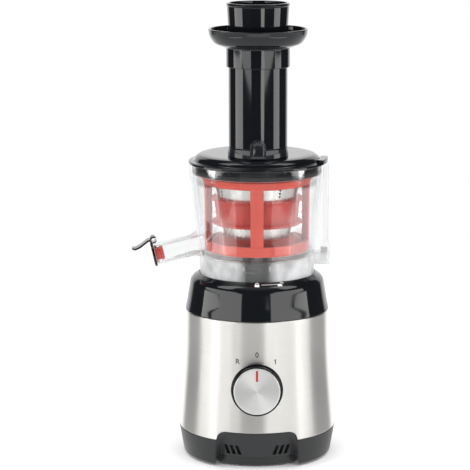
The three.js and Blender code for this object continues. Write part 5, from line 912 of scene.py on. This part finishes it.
# %% Plug
PLUG_RADIUS, PLUG_ROOT, PLUG_LENGTH = 8.8, 42.6, 8.0
plug_share = np.array([
    (0, 0.966), (0.24, 0.966), (0.3, 0.7), (0.58, 0.66), (0.64, 0.83), (0.92, 0.79), (1, 0.68)])
plug_line = np.stack([PLUG_RADIUS * plug_share[:, 1], PLUG_ROOT - PLUG_LENGTH * plug_share[:, 0]], 1)
plug_line = np.concatenate([[(0.01, PLUG_ROOT)], plug_line, [(0.01, PLUG_ROOT - PLUG_LENGTH)]])
plug_line = rounded(plug_line, [0.01, 0.3, 0.6, 0.5, 0.6, 0.6, 0.8, 0.7, 0.01], 4)
plug = spout_turn("plug_red", plug_line)
show("plug_red", plug, "stopper", red_rubber, ["stopper_plug"])

# %% [markdown]
# ## Lid, tube, tray and pusher
# These are gloss black mouldings with walls of about two and a half millimetres. The tube stands off the
# middle of the lid, so each of its parts turns about its own upright axis.

# %% Lid
TUBE_X, TUBE_Y = 1.0, -21.0
lid_line = rounded([
    (61.8, 276.3), (61.8, 282.3), (65.4, 282.3), (65.4, 284.1), (64.5, 284.7), (60.6, 284.9), (58.6, 288.7),
    (55.1, 290.9), (49.6, 291.5), (0.01, 291.5), (0.01, 289.1), (49.4, 289.1), (54.2, 288.5), (56.6, 286.9),
    (58.2, 284), (59.4, 282.5), (59.4, 276.3)],
    [0.5, 0.4, 0.4, 0.5, 0.8, 0.8, 1.8, 2.2, 3.0, 0.01, 0.01, 2.0, 1.5, 1.2, 1.0, 0.6, 0.5], 6)
presser = rounded([(41, 275.8), (43.4, 275.8), (43.4, 290), (41, 290)], 0.4, 3)
tab_line = rounded([(61, 283.5), (67.8, 283.5), (67.8, 288), (61, 288)], [0.3, 0.8, 1.2, 0.3], 5)
tab = surface("tab", [sector(tab_line, -23, 3, 30)])
hole_line = [(0.01, 270), (26.7, 270), (26.7, 300), (0.01, 300)]
tube_hole = whole_turn("tube_hole", hole_line, (TUBE_X, TUBE_Y), 160)
lid = carve("lid_black", [whole_turn("lid", lid_line), whole_turn("presser", presser), tab], [tube_hole], 32)
show("lid_black", lid, "lid", gloss_black, ["lid"])


# %% Feed tube, tray and pusher
def on_tube(name, points, radius, body, finish, node):
    """A profile turned about the feed tube's axis, as one piece."""
    grid = turned(rounded(points, radius, 5), 200) + (TUBE_X, TUBE_Y, 0)
    return piece(name, [(grid, True, True)], body, finish, [node])


on_tube("tube_black", [(24.7, 286), (26.4, 286), (26.4, 300.4), (27.7, 300.7), (27.7, 394.4), (24.7, 394.4)],
        [0.3, 0.3, 0.3, 0.5, 0.5, 0.4], "lid", gloss_black, "feed_tube")
on_tube("tray_black", [
    (28, 376.1), (29.9, 376.1), (29.9, 394.7), (33.4, 394.7), (41.44, 398.08), (45.73, 404.84), (46.8, 411.6),
    (44.4, 411.6), (43.33, 404.84), (39.04, 398.08), (33.4, 397.1), (24.7, 397.1), (24.7, 394.7), (28, 394.7)],
    [0.4, 0.5, 1.5, 2.2, 3.0, 3.0, 0.9, 0.8, 3.0, 3.0, 1.5, 0.8, 0.4, 0.3],
    "tray", gloss_black, "tray")
on_tube("pusher_black", [
    (0.01, 310.4), (24.2, 310.4), (24.2, 397.4), (27.2, 397.4), (29.13, 432.6), (29.8, 433.6), (29.3, 435.6),
    (26.9, 435.6), (24.8, 399.8), (21.8, 397.4), (21.8, 312.8), (0.01, 312.8)],
    [0.01, 1.5, 0.4, 0.9, 0.6, 0.5, 0.8, 0.7, 1.5, 0.8, 1.0, 0.01],
    "pusher", gloss_black, "pusher")

# %% Boot with its tongue
boot_line = rounded([(26.7, 291.8), (28.6, 291.8), (28.5, 296.5), (28.0, 300.4), (26.7, 300.4)],
                    [0.3, 0.6, 1.5, 0.5, 0.3], 5)
TONGUE_HALF, TONGUE_FOOT, TONGUE_TOP, TONGUE_BEND = 7.4, 292.1, 310.8, 29.0
tongue_round = arc_points((0, TONGUE_TOP - TONGUE_HALF), TONGUE_HALF, 0, 180, 33)
tongue_line = np.concatenate([
    tongue_round,
    [(-TONGUE_HALF, TONGUE_FOOT + 8), (-TONGUE_HALF, TONGUE_FOOT + 0.6), (-TONGUE_HALF + 0.6, TONGUE_FOOT),
     (TONGUE_HALF - 0.6, TONGUE_FOOT), (TONGUE_HALF, TONGUE_FOOT + 0.6), (TONGUE_HALF, TONGUE_FOOT + 8)]])


def on_cylinder(grid):
    """Bends a flat grid (across, up, radius) round the tube's axis at the front."""
    angle, radius = -np.pi / 2 + grid[..., 0] / TONGUE_BEND, grid[..., 2]
    return np.stack([TUBE_X + radius * np.cos(angle), TUBE_Y + radius * np.sin(angle), grid[..., 1]], -1)


tongue_grid = extruded(tongue_line, 28.0, 30.4, 0.8, 5)[0]
tongue = surface("tongue", [(on_cylinder(tongue_grid), False, True)])
recess_line = (tongue_line - (0, 300.5)) * (0.6, 0.74) + (0, 301.2)
recess_grid = extruded(recess_line, 29.8, 33.0, 0.2, 2)[0]
recess = surface("recess", [(on_cylinder(recess_grid), False, True)])
boot = carve("boot_grey", [whole_turn("boot", boot_line, (TUBE_X, TUBE_Y), 200), tongue], [recess], 34)
show("boot_grey", boot, "lid", boot_plastic, ["tube_boot"])

# %% [markdown]
# ## Printed marks
# The dial's marks are printed in grey on the steel, and the padlocks and the line between them in white on
# the collar. Print is a skin a tenth of a millimetre thick here, laid on the surface under it.

# %% A character as a flat mesh
def letter(sign, size):
    """The flat mesh of a character, as triangles in millimetres about its middle."""
    curve = bpy.data.curves.new("letter", "FONT")
    curve.body, curve.size, curve.align_x, curve.align_y = sign, size, "CENTER", "CENTER"
    curve.resolution_u = 6
    curve.offset = 0.012 * size
    thing = bpy.data.objects.new("letter", curve)
    bpy.context.scene.collection.objects.link(thing)
    mesh = bpy.data.meshes.new_from_object(thing.evaluated_get(bpy.context.evaluated_depsgraph_get()))
    bpy.data.objects.remove(thing)
    return mesh


# %% Printing a flat mesh onto a surface
INK, INK_GAP, LONGEST_EDGE = 0.08, 0.03, 0.6


def printed(name, mesh, wrap, finish):
    """Gives a flat mesh the thickness of ink, then bends it onto the base with wrap(across, up, lift)."""
    shape = bmesh.new()
    shape.from_mesh(mesh)
    bmesh.ops.triangulate(shape, faces=shape.faces)
    long_edges = [edge for edge in shape.edges if edge.calc_length() > LONGEST_EDGE]
    bmesh.ops.subdivide_edges(shape, edges=long_edges, cuts=2)
    bmesh.ops.triangulate(shape, faces=shape.faces)
    bmesh.ops.recalc_face_normals(shape, faces=shape.faces)
    bmesh.ops.solidify(shape, geom=shape.faces, thickness=INK)
    shape.to_mesh(mesh)
    shape.free()
    flat = np.empty(len(mesh.vertices) * 3, np.float32)
    mesh.vertices.foreach_get("co", flat)
    flat = flat.reshape(-1, 3)
    lift = flat[:, 2] - flat[:, 2].min() + INK_GAP
    bent = wrap(flat[:, 0], flat[:, 1], lift) * MM
    mesh.vertices.foreach_set("co", bent.astype(np.float32).ravel())
    shape = bmesh.new()
    shape.from_mesh(mesh)
    bmesh.ops.recalc_face_normals(shape, faces=shape.faces)
    shape.to_mesh(mesh)
    shape.free()
    return show(name, mesh, "base", finish)


# %% Where marks lie: the steel, and the collar's chamfer
CHAMFER_MIDDLE = 58.7


def on_shell(centre_x, centre_z):
    """Lays a mark on the steel: across becomes an angle, and the radius follows the flare."""
    def wrap(across, up, lift):
        z = centre_z + up
        r = shell_radius(z) + lift
        angle = -np.pi / 2 + (centre_x + across) / r
        return np.stack([r * np.cos(angle), r * np.sin(angle), z], 1)
    return wrap


def on_chamfer(centre_x):
    """Lays a mark on the middle of the collar's chamfer, with up along its slope from its foot to its top."""
    slope = np.subtract(CHAMFER_TOP, CHAMFER_FOOT)
    slope_length = np.hypot(*slope)
    slope = slope / slope_length
    out = np.array([slope[1], -slope[0]])

    def wrap(across, up, lift):
        way = 0.5 * slope_length + up
        r = CHAMFER_FOOT[0] + slope[0] * way + out[0] * lift
        z = CHAMFER_FOOT[1] + slope[1] * way + out[1] * lift
        angle = -np.pi / 2 + (centre_x + across) / CHAMFER_MIDDLE
        return np.stack([r * np.cos(angle), r * np.sin(angle), z], 1)
    return wrap


# %% Shapes of the marks
def flat_shapes(outlines):
    """A flat mesh of closed outlines, each (outer, inner) with as many points in both, or (outline, None)."""
    places, faces, first = [], [], 0
    for outer, inner in outlines:
        if inner is None:
            faces.append(tuple(range(first, first + len(outer))))
            places.append(outer)
            first += len(outer)
        else:
            count = len(outer)
            k = first + np.arange(count - 1)
            faces += np.column_stack([k, k + 1, k + count + 1, k + count]).tolist()
            places += [outer, inner]
            first += 2 * count
    mesh = bpy.data.meshes.new("flat")
    points = np.concatenate(places)
    mesh.from_pydata(np.column_stack([points, np.zeros(len(points))]).tolist(), [], faces)
    return mesh


BODY_TOP, BOW_FOOT, SHACKLE_SLIDE, SHACKLE_RADII = 0.4, 1.3, 2.6, (1.55, 0.95)


def padlock(open_shackle):
    """A padlock: a body, and a shackle whose outer and inner lines are half circles with straight legs."""
    body = rounded([(-2.1, -2.7), (2.1, -2.7), (2.1, BODY_TOP), (-2.1, BODY_TOP)], 0.4, 3)
    slide = SHACKLE_SLIDE if open_shackle else 0.0
    left_foot = BOW_FOOT if open_shackle else BODY_TOP
    lines = []
    for radius in SHACKLE_RADII:
        bow = arc_points((slide, BOW_FOOT), radius, 0, 180, 17)
        lines.append(np.concatenate([[(slide + radius, BODY_TOP)], bow, [(slide - radius, left_foot)]]))
    return flat_shapes([(body, None), (lines[0], lines[1])])


# %% Place the marks
MARK_SIZE, ONE_HEIGHT, LINE_HALF, LINE_THICK = 6.9, 4.7, 7.7, 0.2
ONE = np.array([
    (-0.09, -0.5), (0.09, -0.5), (0.09, 0.5), (-0.04, 0.5), (-0.26, 0.34), (-0.26, 0.19), (-0.09, 0.28)])
line_corners = np.array([(-LINE_HALF, -LINE_THICK), (LINE_HALF, -LINE_THICK), (LINE_HALF, LINE_THICK),
                         (-LINE_HALF, LINE_THICK)])
printed("mark_0", letter("0", MARK_SIZE), on_shell(0.0, 110.0), dial_ink)
printed("mark_R", letter("R", MARK_SIZE), on_shell(-18.5, 103.3), dial_ink)
printed("mark_1", flat_shapes([(ONE * ONE_HEIGHT, None)]), on_shell(17.5, 103.3), dial_ink)
printed("lock_closed", padlock(False), on_chamfer(0.0), mark_ink)
printed("lock_open", padlock(True), on_chamfer(21.6), mark_ink)
printed("lock_line", flat_shapes([(line_corners, None)]), on_chamfer(11.6), mark_ink)

# %% [markdown]
# ## Finishes on the pieces that stay
# The motor, the gears, the auger and the small parts keep their CAD shape. Each gets the finish of its
# slot, except the auger, the magnet and the rod, which get a finish of their own.

# %% Finishes on the CAD nodes
slot_finish = {
    "steel": shell_steel, "gloss_black": gloss_black, "dark_grey": inner_plastic, "boot_grey": boot_plastic,
    "clear": clear, "red": red_plastic, "red_clear": red_clear, "red_rubber": red_rubber,
    "rubber": black_rubber, "white": white_plastic, "aluminium": aluminium, "zinc": zinc, "iron": iron,
    "brass": brass}
slot_of = {row["node"]: row["material_slot"] for row in frame["record"]["subparts"]}
for name, thing in nodes.items():
    finish = slot_finish[slot_of[name]]
    for place in thing.material_slots:
        place.material = finish
auger_grey = moulded("dark auger plastic", (0.055, 0.052, 0.05), 0.35, 0.05, 800.0)
magnet_cover = moulded("pale magnet cover", (0.5, 0.5, 0.49), 0.35)
nodes["auger"].material_slots[0].material = auger_grey
nodes["interlock_magnet"].material_slots[0].material = magnet_cover
nodes["interlock_rod"].material_slots[0].material = clear
print("finishes given to", len(nodes), "CAD nodes")

# %% [markdown]
# ## Stage and light
# The floor is white and catches a soft shadow. A plain material would render it a little grey, so it shows
# a higher value to the camera than to the light. It stays out of reflections, where a zone of the world
# stands for it.

# %% Floor
FLOOR_HALF, FLOOR_Z, FLOOR_LIT, FLOOR_SEEN = 0.9, -0.0016, 0.9, 1.08
floor_mesh = bpy.data.meshes.new("floor")
floor_corners = [(FLOOR_HALF * across, FLOOR_HALF * back, FLOOR_Z) for across, back in
                 ((-1, -1), (1, -1), (1, 1), (-1, 1))]
floor_mesh.from_pydata(floor_corners, [], [(0, 1, 2, 3)])
floor_finish, add = start("white floor")
paper = between(add, cloud(add, (1, 1, 1), 90.0), 0.995, 1.005)
shown = add("Mix", {0: add("LightPath").outputs["Is Camera Ray"], 2: FLOOR_LIT, 3: FLOOR_SEEN}).outputs[0]
tone = add("HueSaturation", {"Color": (1, 1, 1, 1), "Value": maths(add, "MULTIPLY", paper, shown)}).outputs[0]
add("OutputMaterial", {"Surface": add("BsdfDiffuse", {"Color": tone}).outputs[0]})
floor_mesh.materials.append(floor_finish)
floor = bpy.data.objects.new("floor", floor_mesh)
bpy.context.scene.collection.objects.link(floor)
floor.visible_glossy = False
print("floor", 2 * FLOOR_HALF, "m wide")

# %% [markdown]
# The world is plain white to the camera and to what shows through clear plastic, and a little less for soft
# light. Mirrors see it dark, so that black plastic stays black, with three bright zones: straight up, down
# below the horizon, and behind the juicer. A zone runs from its start to full along one axis of the
# direction.

# %% World
DARK_SIDE, SOFT_LEVEL = 0.04, 0.95
ZONES = (("Z", 0.80, 0.95, 0.55), ("Z", -0.20, -0.26, 0.95), ("Y", 0.70, 0.80, 1.25))
world = bpy.data.worlds.new("studio")
bpy.context.scene.world = world
world.use_nodes = True
add = writer(world.node_tree)
rays = add("LightPath").outputs
seen = maths(add, "MAXIMUM", rays["Is Camera Ray"], rays["Is Transmission Ray"])
direction = add("SeparateXYZ", {0: add("TexCoord").outputs["Generated"]}).outputs
mirrored = DARK_SIDE
for axis, start_at, full_at, strength in ZONES:
    zone = ramp(add, direction[axis], start_at, full_at, DARK_SIDE, strength)
    mirrored = maths(add, "MAXIMUM", zone, mirrored)
level = add("Mix", {0: rays["Is Glossy Ray"], 2: SOFT_LEVEL, 3: mirrored}).outputs[0]
strength = add("Mix", {0: seen, 2: level, 3: 1.0}).outputs[0]
background = add("Background", {"Color": (1, 1, 1, 1), "Strength": strength}).outputs[0]
add("OutputWorld", {0: background})
print("world with", len(ZONES), "bright zones")

# %% [markdown]
# Two tall soft boxes stand left and right, with a wider one above each of them, because the upright tube
# mirrors narrow bands and the leaning collar mirrors wide ones. The wide ones are rolled a little, so that
# their edges follow the collar's slope. A thin strip makes the fine line on the tube, three low lamps stand
# under the floor's level for the faces that lean down, and two more hang above.

# %% A soft box
LAMP_COLOUR, LAMP_DISTANCE = (1.0, 0.995, 0.98), 1.5


def soft_box(name, azimuth, width_deg, low, high, level, shape="RECTANGLE", roll=0.0):
    """A flat lamp that faces the juicer's axis from an angle off the camera's side, 2 d tan(width / 2) wide,
    from one height to another, and rolled by some degrees about its own aim. The level is the light that its
    face gives: its power is level * pi * area, so what mirrors it doesn't depend on its size."""
    wide = 2 * LAMP_DISTANCE * np.tan(np.radians(width_deg) / 2)
    data = bpy.data.lights.new(name, "AREA")
    data.shape = shape
    data.size, data.size_y = wide, high - low
    data.energy = level * np.pi * wide * (high - low)
    data.color = LAMP_COLOUR
    lamp = bpy.data.objects.new(name, data)
    bpy.context.scene.collection.objects.link(lamp)
    turn = np.radians(azimuth)
    lamp.location = (LAMP_DISTANCE * np.sin(turn), -LAMP_DISTANCE * np.cos(turn), (low + high) / 2)
    aim_at = Vector((0, 0, (low + high) / 2)) - lamp.location
    aim = aim_at.to_track_quat("-Z", "Y") @ Quaternion((0, 0, 1), np.radians(roll))
    lamp.rotation_euler = aim.to_euler()
    lamp.visible_camera = False
    return lamp


# %% Place the lamps
TOP_X, TOP_PLACE, TOP_AIM = 0.75, (-0.2, 1.45), (0, 0, 0.28)
soft_box("left_low", -79, 37, 0.04, 0.24, 3.8)
soft_box("right_low", 76, 28, 0.04, 0.24, 3.8)
soft_box("left_high", -61, 72, 0.235, 0.60, 2.9, roll=-5)
soft_box("right_high", 53, 62, 0.235, 0.60, 2.9, roll=5)
soft_box("fine_strip", 17, 13, 0.06, 0.29, 3.6, "ELLIPSE")
soft_box("middle_foot", 1, 62, -0.26, 0.0, 0.62)
soft_box("left_table", -57, 34, -0.42, -0.31, 3.2)
soft_box("right_table", 50, 46, -0.42, -0.31, 2.8)
for name, side in (("left_top", -1), ("right_top", 1)):
    lamp = soft_box(name, 90 * side, 22, 0.0, 0.8, 3.0)
    lamp.location = (TOP_X * side, *TOP_PLACE)
    lamp.rotation_euler = (Vector(TOP_AIM) - lamp.location).to_track_quat("-Z", "Y").to_euler()
print(len(bpy.data.lights), "lamps placed")
